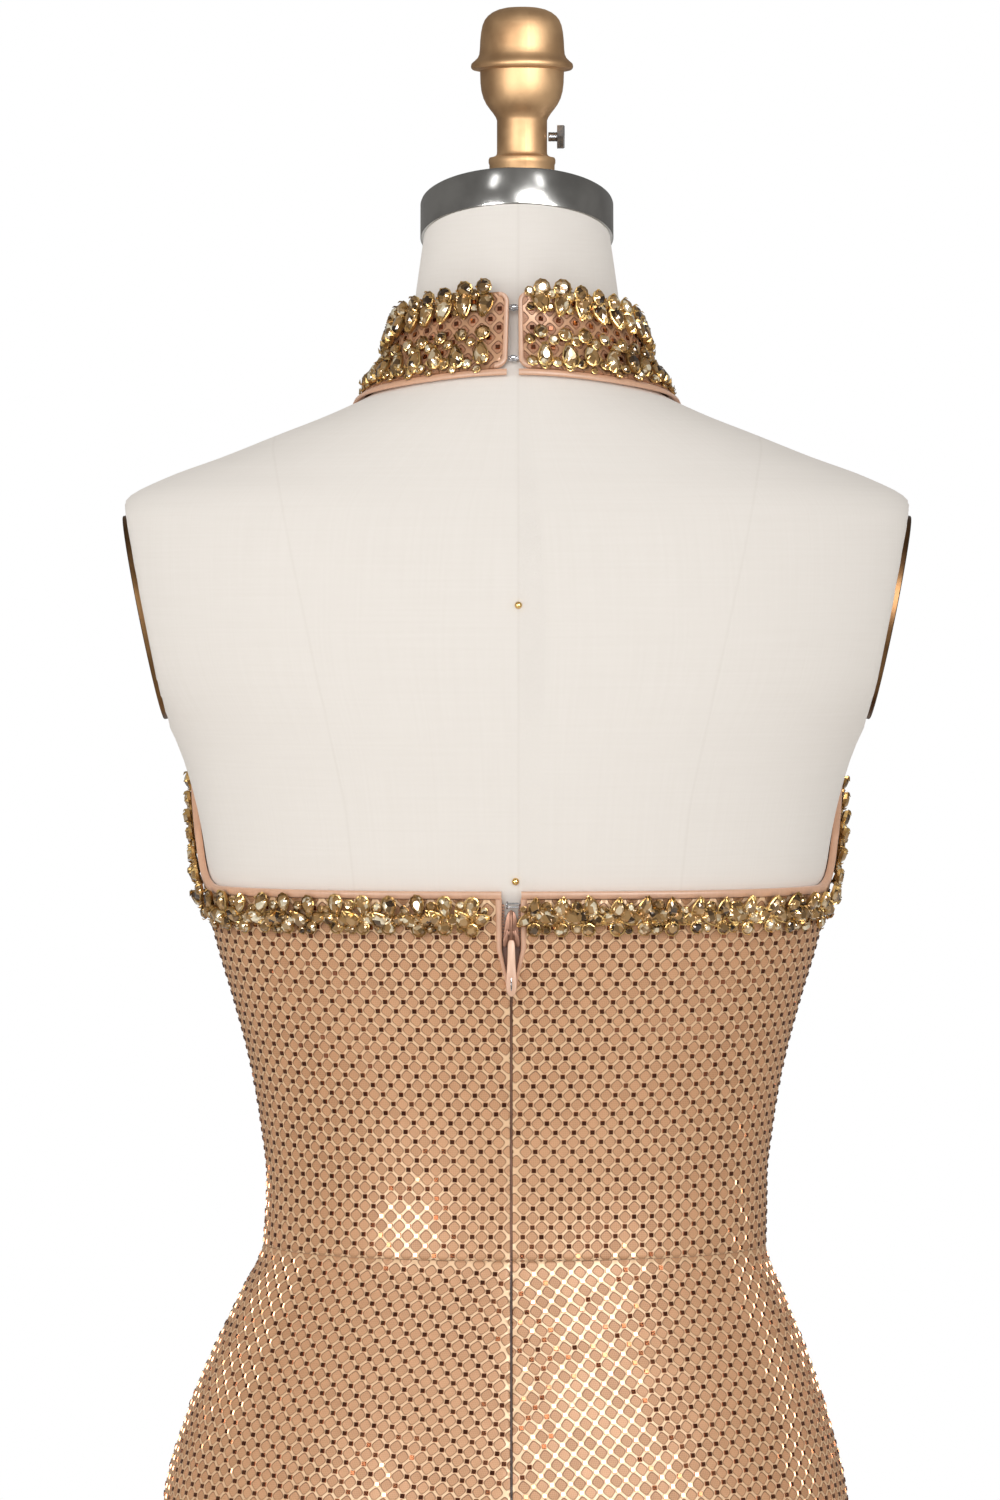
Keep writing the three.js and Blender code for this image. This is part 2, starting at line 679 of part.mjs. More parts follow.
// Beaded trim over the panels below the binding, with its large crystals raised in the outer points
const TRIM = { start: 4.2, width: 21, base: 1.2, raise: 2.8, pitch: 11.5, endGap: 3, reach: 14 };
const TRIM_ROWS = table(['share', 'raise'], [
  [0, 0.2],
  [0.3, 1],
  [0.7, 0.9],
  [1, 0.1],
]);
for (const [name, side] of SIDES) {
  const edge = freeEdge(side);
  const columns = Math.round(edge.length / TRIM.pitch) * 2;
  const floor = CLOTH.outer + 2 * SEAM;
  const place = (raised) => (c, r) => {
    const row = TRIM_ROWS[r];
    const width = mix(TRIM.start, TRIM.width, row.share);
    const end = collarCrossing(edge, width) - TRIM.endGap;
    const { angle, height } = insideEdge(edge, mix(SEAM, end, c / columns), width, TRIM.reach);
    const crystal = (c + r) % 2 === 1 ? 1 : 0.35;
    const ends = c === 0 || c === columns ? 0.2 : 1;
    const offset = floor + (raised ? TRIM.base + TRIM.raise * row.raise * crystal * ends : 0);
    return skin(side * angle, height, offset);
  };
  add(`beaded_trim_${name}`, wall(columns, TRIM_ROWS.length - 1, place(true), place(false)), 'crystal');
}

// Collar: a conical band, split at centre back, with two rows of crystals raised in its outer points
const COLLAR = { tallBack: 36, tallSide: 32.5, footGap: 2.2, topGap: 5.6, thick: 1.6, slit: 4.8, slitX: 1.8, raise: 3 };
const COLLAR_ROWS = table(['share', 'raise'], [
  [0, 0],
  [0.14, 0.9],
  [0.3, 0.75],
  [0.5, 0],
  [0.7, 0.9],
  [0.93, 1],
  [1, 0.4],
]);
const collarStart = angleAcross(COLLAR.slit / 2 + COLLAR.slitX, 425);
const collarEnd = 2 * Math.PI - angleAcross(COLLAR.slit / 2 - COLLAR.slitX, 425);

function collarPoint(angle, share, outward) {
  const tall = mix(COLLAR.tallSide, COLLAR.tallBack, Math.cos(angle));
  const height = collarFoot(angle) + tall * share;
  const lift = mix(COLLAR.footGap, COLLAR.topGap, share);
  return skin(angle, height, lift + outward);
}

{
  const columns = 62;
  const place = (raised) => (c, r) => {
    const angle = mix(collarStart, collarEnd, c / columns);
    const row = COLLAR_ROWS[r];
    const crystal = c % 2 === 1 ? 1 : 0.3;
    const ends = c === 0 || c === columns ? 0 : 1;
    const outward = raised ? COLLAR.thick + COLLAR.raise * row.raise * crystal * ends : 0;
    return collarPoint(angle, row.share, outward);
  };
  add('collar', wall(columns, COLLAR_ROWS.length - 1, place(true), place(false)), 'crystal');
}

// Satin strip below the free lower edge of the collar, from the slit to the halter front
const COLLAR_BINDING = { tall: 2.7, inner: 1.2, outer: 2.9 };
for (const [name, side] of SIDES) {
  const columns = 24;
  const start = angleAcross(COLLAR.slit / 2 + side * COLLAR.slitX, 425);
  const end = (ARMHOLE_TOP.angle - 2) * DEG;
  const place = (offset) => (c, r) => {
    const angle = mix(start, end, c / columns);
    const height = collarFoot(angle) - (r === 0 ? COLLAR_BINDING.tall : SEAM);
    return skin(side * angle, height, offset);
  };
  add(`collar_binding_${name}`, wall(columns, 1, place(COLLAR_BINDING.outer), place(COLLAR_BINDING.inner)), 'satin');
}

// Zip chain: a thin strip behind the opening, bent at the same heights as the panels beside it
const ZIP = { bottom: -146, top: 170, half: 6, inner: 0.5, outer: 1.5 };
{
  const panelTop = insideEdge(freeEdge(1), 0, PANEL_EDGE).height;
  const heights = [
    ZIP.bottom,
    ...SKIRT_ROWS.filter((height) => height > ZIP.bottom),
    ...BODICE_RISES.slice(1, -1).map((v) => v * panelTop),
    ZIP.top,
  ];
  const place = (offset) => (c, r) => {
    const height = heights[r];
    const across = CENTRE_BACK_X - figureCurve.sway(height) + (c * 2 - 1) * ZIP.half;
    return skin(angleAcross(across, height), height, offset);
  };
  add('zip_chain', wall(1, heights.length - 1, place(ZIP.outer), place(ZIP.inner)), 'mesh');
}

// A flat block from an outline of points across and up, standing out by its depth
function block(outline, depth) {
  const shape = new THREE.Shape(outline.map(([x, z]) => new THREE.Vector2(x, z)));
  const geometry = new THREE.ExtrudeGeometry(shape, { depth, bevelEnabled: false });
  geometry.rotateX(Math.PI / 2);
  geometry.translate(0, depth, 0);
  return geometry;
}

// Seats a block on the back of the figure, turned to the slope there
function seatOnBack(mesh, x, height, offset) {
  const angle = angleAcross(x, height);
  const low = skin(angle, height - 4, offset);
  const high = skin(angle, height + 4, offset);
  mesh.rotation.x = -Math.atan2(high.y - low.y, high.z - low.z);
  mesh.position.copy(low.add(high).multiplyScalar(0.5));
}

// Zip slider in the opening, a tapered body with wings at its foot
const SLIDER = { height: 158.5, up: 8.5, down: 8.5, halfTop: 2.3, halfFoot: 3.7, wing: 5.5, inner: 2.1, thick: 3 };
{
  const { up, down, halfTop, halfFoot, wing } = SLIDER;
  const outline = [
    [-halfFoot, -down],
    [halfFoot, -down],
    [halfFoot, wing - down],
    [halfTop, up],
    [-halfTop, up],
    [-halfFoot, wing - down],
  ];
  const slider = add('zip_slider', block(outline, SLIDER.thick), 'enamel');
  seatOnBack(slider, CENTRE_BACK_X, SLIDER.height, SLIDER.inner);
}

// Pull tab, hanging plumb from the foot of the slider's bail
const PULL = { hinge: 152, gap: 0.7, thick: 1.6 };
const PULL_OUTLINE = table(['drop', 'half'], [
  [-0.8, 1.3],
  [0, 1.7],
  [6, 1.8],
  [11, 2],
  [19, 2.6],
  [24, 2.4],
  [26.5, 1.4],
]);
{
  const right = PULL_OUTLINE.map(({ drop, half }) => [half, -drop]);
  const left = [...PULL_OUTLINE].reverse().map(({ drop, half }) => [-half, -drop]);
  const pull = add('zip_pull', block([...right, ...left], PULL.thick), 'enamel');
  const face = skin(angleAcross(CENTRE_BACK_X, PULL.hinge), PULL.hinge, SLIDER.inner + SLIDER.thick);
  pull.position.set(CENTRE_BACK_X, face.y + PULL.gap, WAIST_Z + PULL.hinge);
}

// Fastenings: the hook and bar above the zip, and two hooks that close the collar slit
const BACK_HOOK_HEIGHT = 169.5;
{
  const half = halfGap(BACK_HOOK_HEIGHT) - SEAM;
  const hook = add('back_hook', block([[-half, -2], [half, -2], [half, 2], [-half, 2]], 1.3), 'darkSteel');
  seatOnBack(hook, CENTRE_BACK_X, BACK_HOOK_HEIGHT, CLOTH.inner);
}
const COLLAR_HOOKS = table(['name', 'share'], [
  ['upper', 0.78],
  ['lower', 0.12],
]);
for (const row of COLLAR_HOOKS) {
  const angle = angleAcross(COLLAR.slitX, 425);
  const low = collarPoint(angle, row.share - 0.04, 0);
  const high = collarPoint(angle, row.share + 0.04, 0);
  const half = COLLAR.slit / 2 - SEAM;
  const hook = add(`collar_hook_${row.name}`, block([[-half, -1.6], [half, -1.6], [half, 1.6], [-half, 1.6]], 1.3), 'steel');
  hook.rotation.x = -Math.atan2(high.y - low.y, high.z - low.z);
  hook.position.copy(low.add(high).multiplyScalar(0.5));
}

export default group;
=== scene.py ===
"""Looks of the halter evening gown on its dress form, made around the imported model.

The figure's tables and the pieces' sizes are in millimetres. Every mesh is made in metres.
"""

import json
import math

import bmesh
import bpy
import numpy as np
from mathutils import Vector
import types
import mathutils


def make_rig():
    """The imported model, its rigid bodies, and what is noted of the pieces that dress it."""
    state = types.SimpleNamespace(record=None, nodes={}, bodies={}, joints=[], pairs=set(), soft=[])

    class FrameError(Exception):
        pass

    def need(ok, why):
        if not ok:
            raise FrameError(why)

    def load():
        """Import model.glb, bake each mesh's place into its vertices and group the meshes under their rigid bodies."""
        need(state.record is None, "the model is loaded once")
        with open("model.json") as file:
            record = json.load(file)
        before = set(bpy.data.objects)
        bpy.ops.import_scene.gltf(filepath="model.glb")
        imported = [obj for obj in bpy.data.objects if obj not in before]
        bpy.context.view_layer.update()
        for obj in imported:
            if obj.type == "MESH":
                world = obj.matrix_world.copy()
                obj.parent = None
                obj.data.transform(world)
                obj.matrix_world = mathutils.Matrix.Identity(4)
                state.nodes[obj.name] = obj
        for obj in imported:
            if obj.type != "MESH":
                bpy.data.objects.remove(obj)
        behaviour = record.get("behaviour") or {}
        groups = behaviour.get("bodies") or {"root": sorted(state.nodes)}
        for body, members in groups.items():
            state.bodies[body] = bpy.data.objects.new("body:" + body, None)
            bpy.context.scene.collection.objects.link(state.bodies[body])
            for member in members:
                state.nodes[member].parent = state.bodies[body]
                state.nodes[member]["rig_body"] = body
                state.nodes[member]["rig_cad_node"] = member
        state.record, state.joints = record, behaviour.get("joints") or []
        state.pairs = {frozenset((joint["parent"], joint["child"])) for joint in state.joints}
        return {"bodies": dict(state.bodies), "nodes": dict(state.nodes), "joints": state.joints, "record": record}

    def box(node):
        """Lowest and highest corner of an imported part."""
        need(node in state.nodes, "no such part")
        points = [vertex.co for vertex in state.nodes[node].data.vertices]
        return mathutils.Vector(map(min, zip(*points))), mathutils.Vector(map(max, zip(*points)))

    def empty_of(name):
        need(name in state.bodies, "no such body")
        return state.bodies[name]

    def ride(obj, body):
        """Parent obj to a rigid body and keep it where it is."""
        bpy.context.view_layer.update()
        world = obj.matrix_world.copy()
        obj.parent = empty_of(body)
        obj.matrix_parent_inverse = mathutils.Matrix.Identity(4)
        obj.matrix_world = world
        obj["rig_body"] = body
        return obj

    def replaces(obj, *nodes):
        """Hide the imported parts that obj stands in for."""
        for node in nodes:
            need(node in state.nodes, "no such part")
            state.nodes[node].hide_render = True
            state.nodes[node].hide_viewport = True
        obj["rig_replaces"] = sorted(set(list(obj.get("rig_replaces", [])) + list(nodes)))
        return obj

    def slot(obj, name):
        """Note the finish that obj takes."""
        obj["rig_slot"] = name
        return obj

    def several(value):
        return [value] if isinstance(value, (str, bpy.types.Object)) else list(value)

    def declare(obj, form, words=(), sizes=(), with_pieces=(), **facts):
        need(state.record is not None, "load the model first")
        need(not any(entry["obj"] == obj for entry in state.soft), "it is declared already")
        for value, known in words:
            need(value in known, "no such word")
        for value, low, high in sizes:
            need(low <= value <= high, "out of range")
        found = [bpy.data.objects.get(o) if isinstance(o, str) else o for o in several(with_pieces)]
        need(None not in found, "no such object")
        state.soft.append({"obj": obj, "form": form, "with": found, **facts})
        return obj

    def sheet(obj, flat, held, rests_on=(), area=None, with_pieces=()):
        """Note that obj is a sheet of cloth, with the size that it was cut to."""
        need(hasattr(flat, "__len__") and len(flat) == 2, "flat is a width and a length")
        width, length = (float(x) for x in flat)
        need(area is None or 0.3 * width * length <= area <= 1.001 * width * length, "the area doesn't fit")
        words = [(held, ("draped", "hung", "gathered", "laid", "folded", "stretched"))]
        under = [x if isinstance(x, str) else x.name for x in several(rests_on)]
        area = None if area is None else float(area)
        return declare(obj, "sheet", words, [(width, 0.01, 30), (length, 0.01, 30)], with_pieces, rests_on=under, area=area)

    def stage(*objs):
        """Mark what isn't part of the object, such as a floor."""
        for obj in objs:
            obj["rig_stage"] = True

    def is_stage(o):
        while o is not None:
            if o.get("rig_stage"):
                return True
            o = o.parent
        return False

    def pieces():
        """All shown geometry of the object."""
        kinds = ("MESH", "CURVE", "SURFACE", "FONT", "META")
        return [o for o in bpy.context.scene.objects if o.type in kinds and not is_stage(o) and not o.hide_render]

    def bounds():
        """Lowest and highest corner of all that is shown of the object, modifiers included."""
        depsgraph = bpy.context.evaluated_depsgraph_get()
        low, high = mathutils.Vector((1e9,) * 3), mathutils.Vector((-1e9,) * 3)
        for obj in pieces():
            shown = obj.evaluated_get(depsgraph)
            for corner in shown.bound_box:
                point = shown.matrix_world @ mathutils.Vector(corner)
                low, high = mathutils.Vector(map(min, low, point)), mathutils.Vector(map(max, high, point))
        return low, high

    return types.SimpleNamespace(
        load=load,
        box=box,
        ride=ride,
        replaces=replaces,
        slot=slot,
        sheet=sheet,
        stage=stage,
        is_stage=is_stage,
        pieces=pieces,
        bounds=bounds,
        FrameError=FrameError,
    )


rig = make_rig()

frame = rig.load()
cad_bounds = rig.bounds()

MM = 0.001
DEG = math.pi / 180
GOWN = "gown_and_form"
SIDES = (("left", 1), ("right", -1))

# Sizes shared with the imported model
WAIST_Z = 1070
HEM = -1058
SEAM = 0.3
CENTRE_BACK_X = 2.9
FORM_BOTTOM = -262
FORM_TOP = 490.5
LEAN_LINE_Y = -2.75

FIGURE_COLUMNS = ("height", "half", "front", "back", "power", "lean", "sway")
FIGURE = np.array([
    (-1075, 238, 214, 246, 2.0, 0, 5.5),
    (-850, 216, 186, 216, 2.0, 0, 5.5),
    (-600, 195, 156, 182, 2.05, 0, 5.5),
    (-400, 180, 130, 152, 2.1, 0, 5.5),
    (-262, 171, 110, 132, 2.15, 0, 5.5),
    (-185, 168.6, 101, 123, 2.2, 0, 5.5),
    (-127, 164.6, 99, 116, 2.2, 0, 5.5),
    (-88, 154.8, 98, 107, 2.2, 0, 4.8),
    (-59, 144.2, 97, 98, 2.2, 0, 3.6),
    (-29.5, 131.2, 95, 88, 2.2, 0, 2.4),
    (0, 119.8, 93, 80, 2.2, 0, 1),
    (29.5, 119.4, 94, 78, 2.2, 0, 0),
    (59, 122.6, 97, 79, 2.2, 0, 0),
    (88, 127.7, 102, 82, 2.25, 0, 0),
    (118, 135.4, 109, 86, 2.3, 0, 0),
    (147, 143.9, 116, 90, 2.35, 0, 0),
    (176, 150.5, 121, 94, 2.4, 0, 0),
    (206, 155.5, 122, 97, 2.4, 0, 0),
    (236, 163.5, 119, 100, 2.4, 0, 0),
    (255, 172, 115, 101.5, 2.4, 0, 0),
    (275, 184, 109, 102, 2.4, 0, 0),
    (295, 190, 101, 102, 2.4, 0, 0),
    (314, 193, 93, 101, 2.35, 0, 0),
    (334, 195, 85, 98, 2.3, 0, 0),
    (354, 196, 78, 92, 2.2, 0.02, 0),
    (363.5, 191, 75, 88, 2.1, 0.04, 0),
    (373, 173, 71.5, 83, 2.0, 0.06, 0),
    (383, 145, 68, 78, 2.0, 0.08, 0),
    (393, 119, 65, 73, 2.0, 0.1, 0),
    (403, 92, 62, 67, 2.0, 0.13, 0),
    (413, 71, 60, 61.5, 2.0, 0.16, 0),
    (425, 60.5, 57.5, 56, 2.0, 0.19, 0),
    (437, 54.5, 56, 52, 2.0, 0.21, 0),
    (450, 51.3, 55, 49.5, 2.0, 0.23, 0),
    (465, 49.3, 54.5, 48.5, 2.0, 0.256, 0),
    (490.5, 45.6, 53, 47.5, 2.0, 0.29, 0),
])
BUST = {"depth": 13, "across": 84, "width": 55, "height": 174, "tall": 50}
FLUTES = {"count": 9, "start": -420, "depth": 10.5, "second": 0.35, "second_count": 5, "phase": 0.5}
ARM_PLANE = {"height": 265, "across": 172.3, "lean": 0.2022}


# The figure

def smooth_curve(xs, ys):
    """Monotone cubic through points."""
    xs, ys = np.asarray(xs, float), np.asarray(ys, float)
    slopes = np.diff(ys) / np.diff(xs)
    before, after = slopes[:-1], slopes[1:]
    turning = before * after <= 0
    inner = np.where(turning, 0, 2 * before * after / np.where(turning, 1, before + after))
    tangents = np.concatenate([slopes[:1], inner, slopes[-1:]])

    def at(x):
        x = np.asarray(x, float)
        i = np.clip(np.searchsorted(xs, x, side="left") - 1, 0, len(slopes) - 1)
        span = xs[i + 1] - xs[i]
        t = (x - xs[i]) / span
        s = 1 - t
        ends = ys[i] * (1 + 2 * t) * s * s + ys[i + 1] * (3 - 2 * t) * t * t
        return ends + span * (tangents[i] * t * s * s - tangents[i + 1] * s * t * t)

    return at


figure_curve = {
    name: smooth_curve(FIGURE[:, 0], FIGURE[:, column])
    for column, name in enumerate(FIGURE_COLUMNS) if column
}


def signed_power(value, exponent):
    return np.sign(value) * np.abs(value) ** exponent


def mix(a, b, t):
    return a + (b - a) * t


def unit(vectors):
    return vectors / np.linalg.norm(vectors, axis=-1, keepdims=True)


def flute(angle, height):
    fall = np.maximum(0, (FLUTES["start"] - height) / (-HEM + FLUTES["start"]))
    wave = np.cos(FLUTES["count"] * angle + FLUTES["phase"])
    wave = wave + FLUTES["second"] * np.cos(FLUTES["second_count"] * angle + 2 * FLUTES["phase"])
    return FLUTES["depth"] * fall ** 1.3 * wave


def bust_relief(x, height):
    level = np.exp(-((height - BUST["height"]) / BUST["tall"]) ** 2)
    sides = sum(np.exp(-((x + side * BUST["across"]) / BUST["width"]) ** 2) for side in (1, -1))
    return BUST["depth"] * level * sides


def figure_point(angle, height):
    """Points of the figure. The angle is 0 at centre back and 90 degrees at +X."""
    angle, height = np.broadcast_arrays(np.asarray(angle, float), np.asarray(height, float))
    curve = {name: at(height) for name, at in figure_curve.items()}
    sine, cosine = np.sin(angle), np.cos(angle)
    depth = np.where(cosine > 0, curve["back"], curve["front"])
    ripple = flute(angle, height)
    x = curve["half"] * signed_power(sine, 2 / curve["power"]) + ripple * sine + curve["sway"]
    y = depth * signed_power(cosine, 2 / curve["power"]) + ripple * cosine
    y = y - np.where(cosine < 0, bust_relief(x, height) * np.minimum(1, -2 * cosine), 0)
    return np.stack([x, y, WAIST_Z + height + curve["lean"] * (y - LEAN_LINE_Y)], axis=-1)


def outward(angle, height):
    along = figure_point(angle + 0.01, height) - figure_point(angle - 0.01, height)
    up = figure_point(angle, height + 1) - figure_point(angle, height - 1)
    normal = unit(np.cross(along, up))
    facing = normal[..., 0] * np.sin(angle) + normal[..., 1] * np.cos(angle)
    return np.where(facing[..., None] < 0, -normal, normal)


def skin(angle, height, offset):
    """The figure moved outwards by an offset, square to its surface."""
    return figure_point(angle, height) + outward(angle, height) * np.asarray(offset, float)[..., None]


def surface_place(points, angle, height):
    """The angles and heights whose figure points lie nearest to points beside the surface."""
    for _ in range(8):
        foot = figure_point(angle, height)
        along = (figure_point(angle + 0.005, height) - foot) / 0.005
        angle = angle + np.sum((points - foot) * along, -1) / np.sum(along * along, -1)
        foot = figure_point(angle, height)
        up = figure_point(angle, height + 1) - foot
        height = height + np.sum((points - foot) * up, -1) / np.sum(up * up, -1)
    return angle, height


def angle_across(x, height):
    """The angle at which a section reaches a distance across from its middle."""
    share = x / figure_curve["half"](height)
    return np.arcsin(np.minimum(1, np.abs(share) ** (figure_curve["power"](height) / 2)) * np.sign(share))


def half_gap(height):
    return np.interp(height, (-152, -148, 127, 148), (0.15, 0.4, 0.4, 4.4))


def opening_angle(side, height):
    across = side * (CENTRE_BACK_X - figure_curve["sway"](height))
    return angle_across(half_gap(height) + across, height)


# The free edge of the gown: level across the back, up the armhole, to the collar
EDGE = {"level": 176, "corner": 40, "turn_end": 60 * DEG, "corner_start": 38.1}
ARMHOLE = np.array([
    (202, 90), (211, 93.5), (222, 98.5), (236, 105.5), (255, 115.5), (285, 134), (310, 146),
    (325, 151.5), (340, 154.8), (355, 156.3), (370, 153.7), (385, 148), (398.5, 139.7),
])
armhole_angle = smooth_curve(ARMHOLE[:, 0], ARMHOLE[:, 1])
BINDING_WIDTH = 3.5
PANEL_EDGE = BINDING_WIDTH + SEAM


def collar_foot(angle):
    behind = np.cos(angle)
    return 411 + 3.4 * behind - 10 * behind ** 2 + 9.6 * behind ** 3


def edge_height(behind_side):
    run = np.maximum(0, EDGE["corner_start"] - behind_side)
    on_arc = np.minimum(run, EDGE["corner"] * math.sin(EDGE["turn_end"]))
    rise = EDGE["corner"] - np.sqrt(EDGE["corner"] ** 2 - on_arc ** 2)
    return EDGE["level"] + rise + (run - on_arc) * math.tan(EDGE["turn_end"])


def free_edge(side):
    start = opening_angle(side, EDGE["level"])
    back = np.linspace(start, 90 * DEG, 91)
    back_height = edge_height(figure_point(back, EDGE["level"] + 10)[:, 1])
    front_height = np.linspace(back_height[-1], ARMHOLE[-1, 0], 91)[1:]
    angle = np.concatenate([back, armhole_angle(front_height) * DEG])
    height = np.concatenate([back_height, front_height])
    steps = np.linalg.norm(np.diff(figure_point(angle, height), axis=0), axis=1)
    reach = np.concatenate([[0], np.cumsum(steps)])
    return {"angle": angle, "height": height, "reach": reach, "length": reach[-1]}


def along_edge(edge, distance):
    return tuple(np.interp(distance, edge["reach"], edge[name]) for name in ("angle", "height"))


def inside_edge(edge, distance, width, reach=3):
    """Places a width in from the free edge, measured square to it over the cloth."""
    distance, width = np.broadcast_arrays(np.asarray(distance, float), np.asarray(width, float))
    angle, height = along_edge(edge, distance)
    ahead = figure_point(*along_edge(edge, np.minimum(edge["length"], distance + reach)))
    behind = figure_point(*along_edge(edge, np.maximum(0, distance - reach)))
    inward = unit(np.cross(outward(angle, height), unit(ahead - behind)))
    return surface_place(figure_point(angle, height) + inward * width[..., None], angle, height)


# Meshes

def make_mesh(name, points, faces, uv=None, smooth=True, attributes=None):
    """A piece from points in millimetres and a list or array of faces. uv has one row for each point."""
    points = np.asarray(points, float).reshape(-1, 3) * MM
    mesh = bpy.data.meshes.new(name)
    if isinstance(faces, list):
        sizes = np.array([len(face) for face in faces])
        corners = np.concatenate([np.asarray(face) for face in faces])
    else:
        sizes = np.full(len(faces), faces.shape[1])
        corners = faces.ravel()
    mesh.vertices.add(len(points))
    mesh.vertices.foreach_set("co", points.ravel())
    mesh.loops.add(len(corners))
    mesh.loops.foreach_set("vertex_index", corners.astype(np.int32))
    mesh.polygons.add(len(sizes))
    mesh.polygons.foreach_set("loop_start", (np.cumsum(sizes) - sizes).astype(np.int32))
    mesh.polygons.foreach_set("use_smooth", np.full(len(sizes), smooth))
    if uv is not None:
        layer = mesh.uv_layers.new(name="lattice")
        layer.data.foreach_set("uv", np.asarray(uv, float)[corners].ravel())
    for key, values in (attributes or {}).items():
        values = np.asarray(values, np.float32)
        kind = "FLOAT" if values.ndim == 1 else "FLOAT_VECTOR"
        attribute = mesh.attributes.new(key, kind, "POINT")
        attribute.data.foreach_set("value" if values.ndim == 1 else "vector", values.ravel())
    mesh.update(calc_edges=True)
    piece = bpy.data.objects.new(name, mesh)
    bpy.context.scene.collection.objects.link(piece)
    return piece


def grid_faces(columns, rows, wrap=False):
    """Quads of a grid whose points are stored row by row. wrap joins the last column to the first."""
    stride = columns if wrap else columns + 1
    c, r = np.meshgrid(np.arange(columns), np.arange(rows))
    c, r = c.ravel(), r.ravel()
    beside = (c + 1) % columns if wrap else c + 1
    low, high = r * stride, (r + 1) * stride
    return np.stack([low + c, low + beside, high + beside, high + c], axis=1)


def turned(profile, segments=96, stretch=(1, 1)):
    """Points and faces turned about Z from (radius, height) rows that start and end on the axis."""
    turns = np.arange(segments) * 2 * math.pi / segments
    rings = [(radius, height) for radius, height in profile if radius > 0]
    points = [(0, 0, profile[0][1])]
    for radius, height in rings:
        points += [
            (radius * math.cos(t) * stretch[0], radius * math.sin(t) * stretch[1], height) for t in turns
        ]
    points.append((0, 0, profile[-1][1]))
    faces = [(0, 1 + (i + 1) % segments, 1 + i) for i in range(segments)]
    faces += [tuple(int(k) + 1 for k in face) for face in grid_faces(segments, len(rings) - 1, wrap=True)]
    last = 1 + (len(rings) - 1) * segments
    top = len(points) - 1
    faces += [(last + i, last + (i + 1) % segments, top) for i in range(segments)]
    return np.array(points, float), faces


def tilted(points, axis, angle):
    """Points turned about X, Y or Z."""
    i, j = {"x": (1, 2), "y": (2, 0), "z": (0, 1)}[axis]
    c, s = math.cos(angle), math.sin(angle)
    result = np.array(points, float)
    result[..., i] = points[..., i] * c - points[..., j] * s
    result[..., j] = points[..., i] * s + points[..., j] * c
    return result


def swept(path, profile, closed=False, normals=None):
    """Points and faces of a profile of (side, up) rows carried along a path."""
    path = np.asarray(path, float)
    ahead = np.roll(path, -1, axis=0) - np.roll(path, 1, axis=0)
    if not closed:
        ahead[0], ahead[-1] = path[1] - path[0], path[-1] - path[-2]
    ahead = unit(ahead)
    if normals is None:
        normal = np.cross(ahead[0], (0.3, 0.5, 0.8))
        normals = [normal]
        for step in ahead[1:]:
            normal = normals[-1] - step * np.dot(normals[-1], step)
            normals.append(normal / np.linalg.norm(normal))
        normals = np.array(normals)
    up = unit(normals - ahead * np.sum(normals * ahead, axis=1, keepdims=True))
    beside = np.cross(up, ahead)
    profile = np.asarray(profile, float)
    section = beside[:, None] * profile[None, :, :1] + up[:, None] * profile[None, :, 1:]
    points = path[:, None] + section
    count, around = len(path), len(profile)
    faces = [tuple(face) for face in grid_faces(around, count - 1, wrap=True).tolist()]
    if closed:
        last = (count - 1) * around
        faces += [(last + i, last + (i + 1) % around, (i + 1) % around, i) for i in range(around)]
    else:
        faces += [tuple(range(around))[::-1], tuple(range((count - 1) * around, count * around))]
    return points.reshape(-1, 3), faces


def circle(radius, sides=8):
    turns = [i * 2 * math.pi / sides for i in range(sides)]
    return [(radius * math.cos(t), radius * math.sin(t)) for t in turns]


def several(parts):
    """One set of points and faces from several."""
    points, faces, start = [], [], 0
    for part_points, part_faces in parts:
        points.append(np.asarray(part_points, float))
        faces += [tuple(int(k) + start for k in face) for face in part_faces]
        start += len(part_points)
    return np.concatenate(points), faces


def face_out(piece):
    """Turns the faces of closed pieces outwards."""
    shell = bmesh.new()
    shell.from_mesh(piece.data)
    bmesh.ops.remove_doubles(shell, verts=shell.verts, dist=1e-6)
    bmesh.ops.recalc_face_normals(shell, faces=shell.faces)
    shell.to_mesh(piece.data)
    shell.free()


def solid(name, parts, smooth_over=40, **options):
    """A closed piece from points and faces, with crisp edges over an angle."""
    points, faces = several(parts)
    piece = make_mesh(name, points, faces, **options)
    face_out(piece)
    sharpen(piece, smooth_over)
    return piece


def sharpen(piece, degrees):
    """Smooth shading, with the edges that turn more than this left crisp."""
    piece.data.set_sharp_from_angle(angle=degrees * DEG)


def place(piece, slot, finish, body=GOWN, nodes=()):
    """Gives a piece its finish and its slot, and sets it on its body in place of the nodes named."""
    if finish is not None:
        piece.data.materials.clear()
        piece.data.materials.append(finish)
    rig.ride(piece, body)
    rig.slot(piece, slot)
    if nodes:
        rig.replaces(piece, *nodes)
    return piece


# Shader nodes

def add_node(tree, kind, inputs=None, **settings):
    """A node with its settings, and its inputs given as values or as the sockets that feed them."""
    node = tree.nodes.new(kind)
    for key, value in settings.items():
        setattr(node, key, value)
    for key, value in (inputs or {}).items():
        if isinstance(value, bpy.types.NodeSocket):
            tree.links.new(value, node.inputs[key])
        else:
            node.inputs[key].default_value = value
    return node


def maths(tree, operation, a, b=0.0, c=0.0):
    return add_node(tree, "ShaderNodeMath", {0: a, 1: b, 2: c}, operation=operation).outputs[0]


def ramp(tree, value, low, high, start=0.0, end=1.0, smooth=True):
    """Maps a value from low..high to start..end."""
    kind = "SMOOTHSTEP" if smooth else "LINEAR"
    inputs = {0: value, 1: low, 2: high, 3: start, 4: end}
    return add_node(tree, "ShaderNodeMapRange", inputs, interpolation_type=kind).outputs[0]


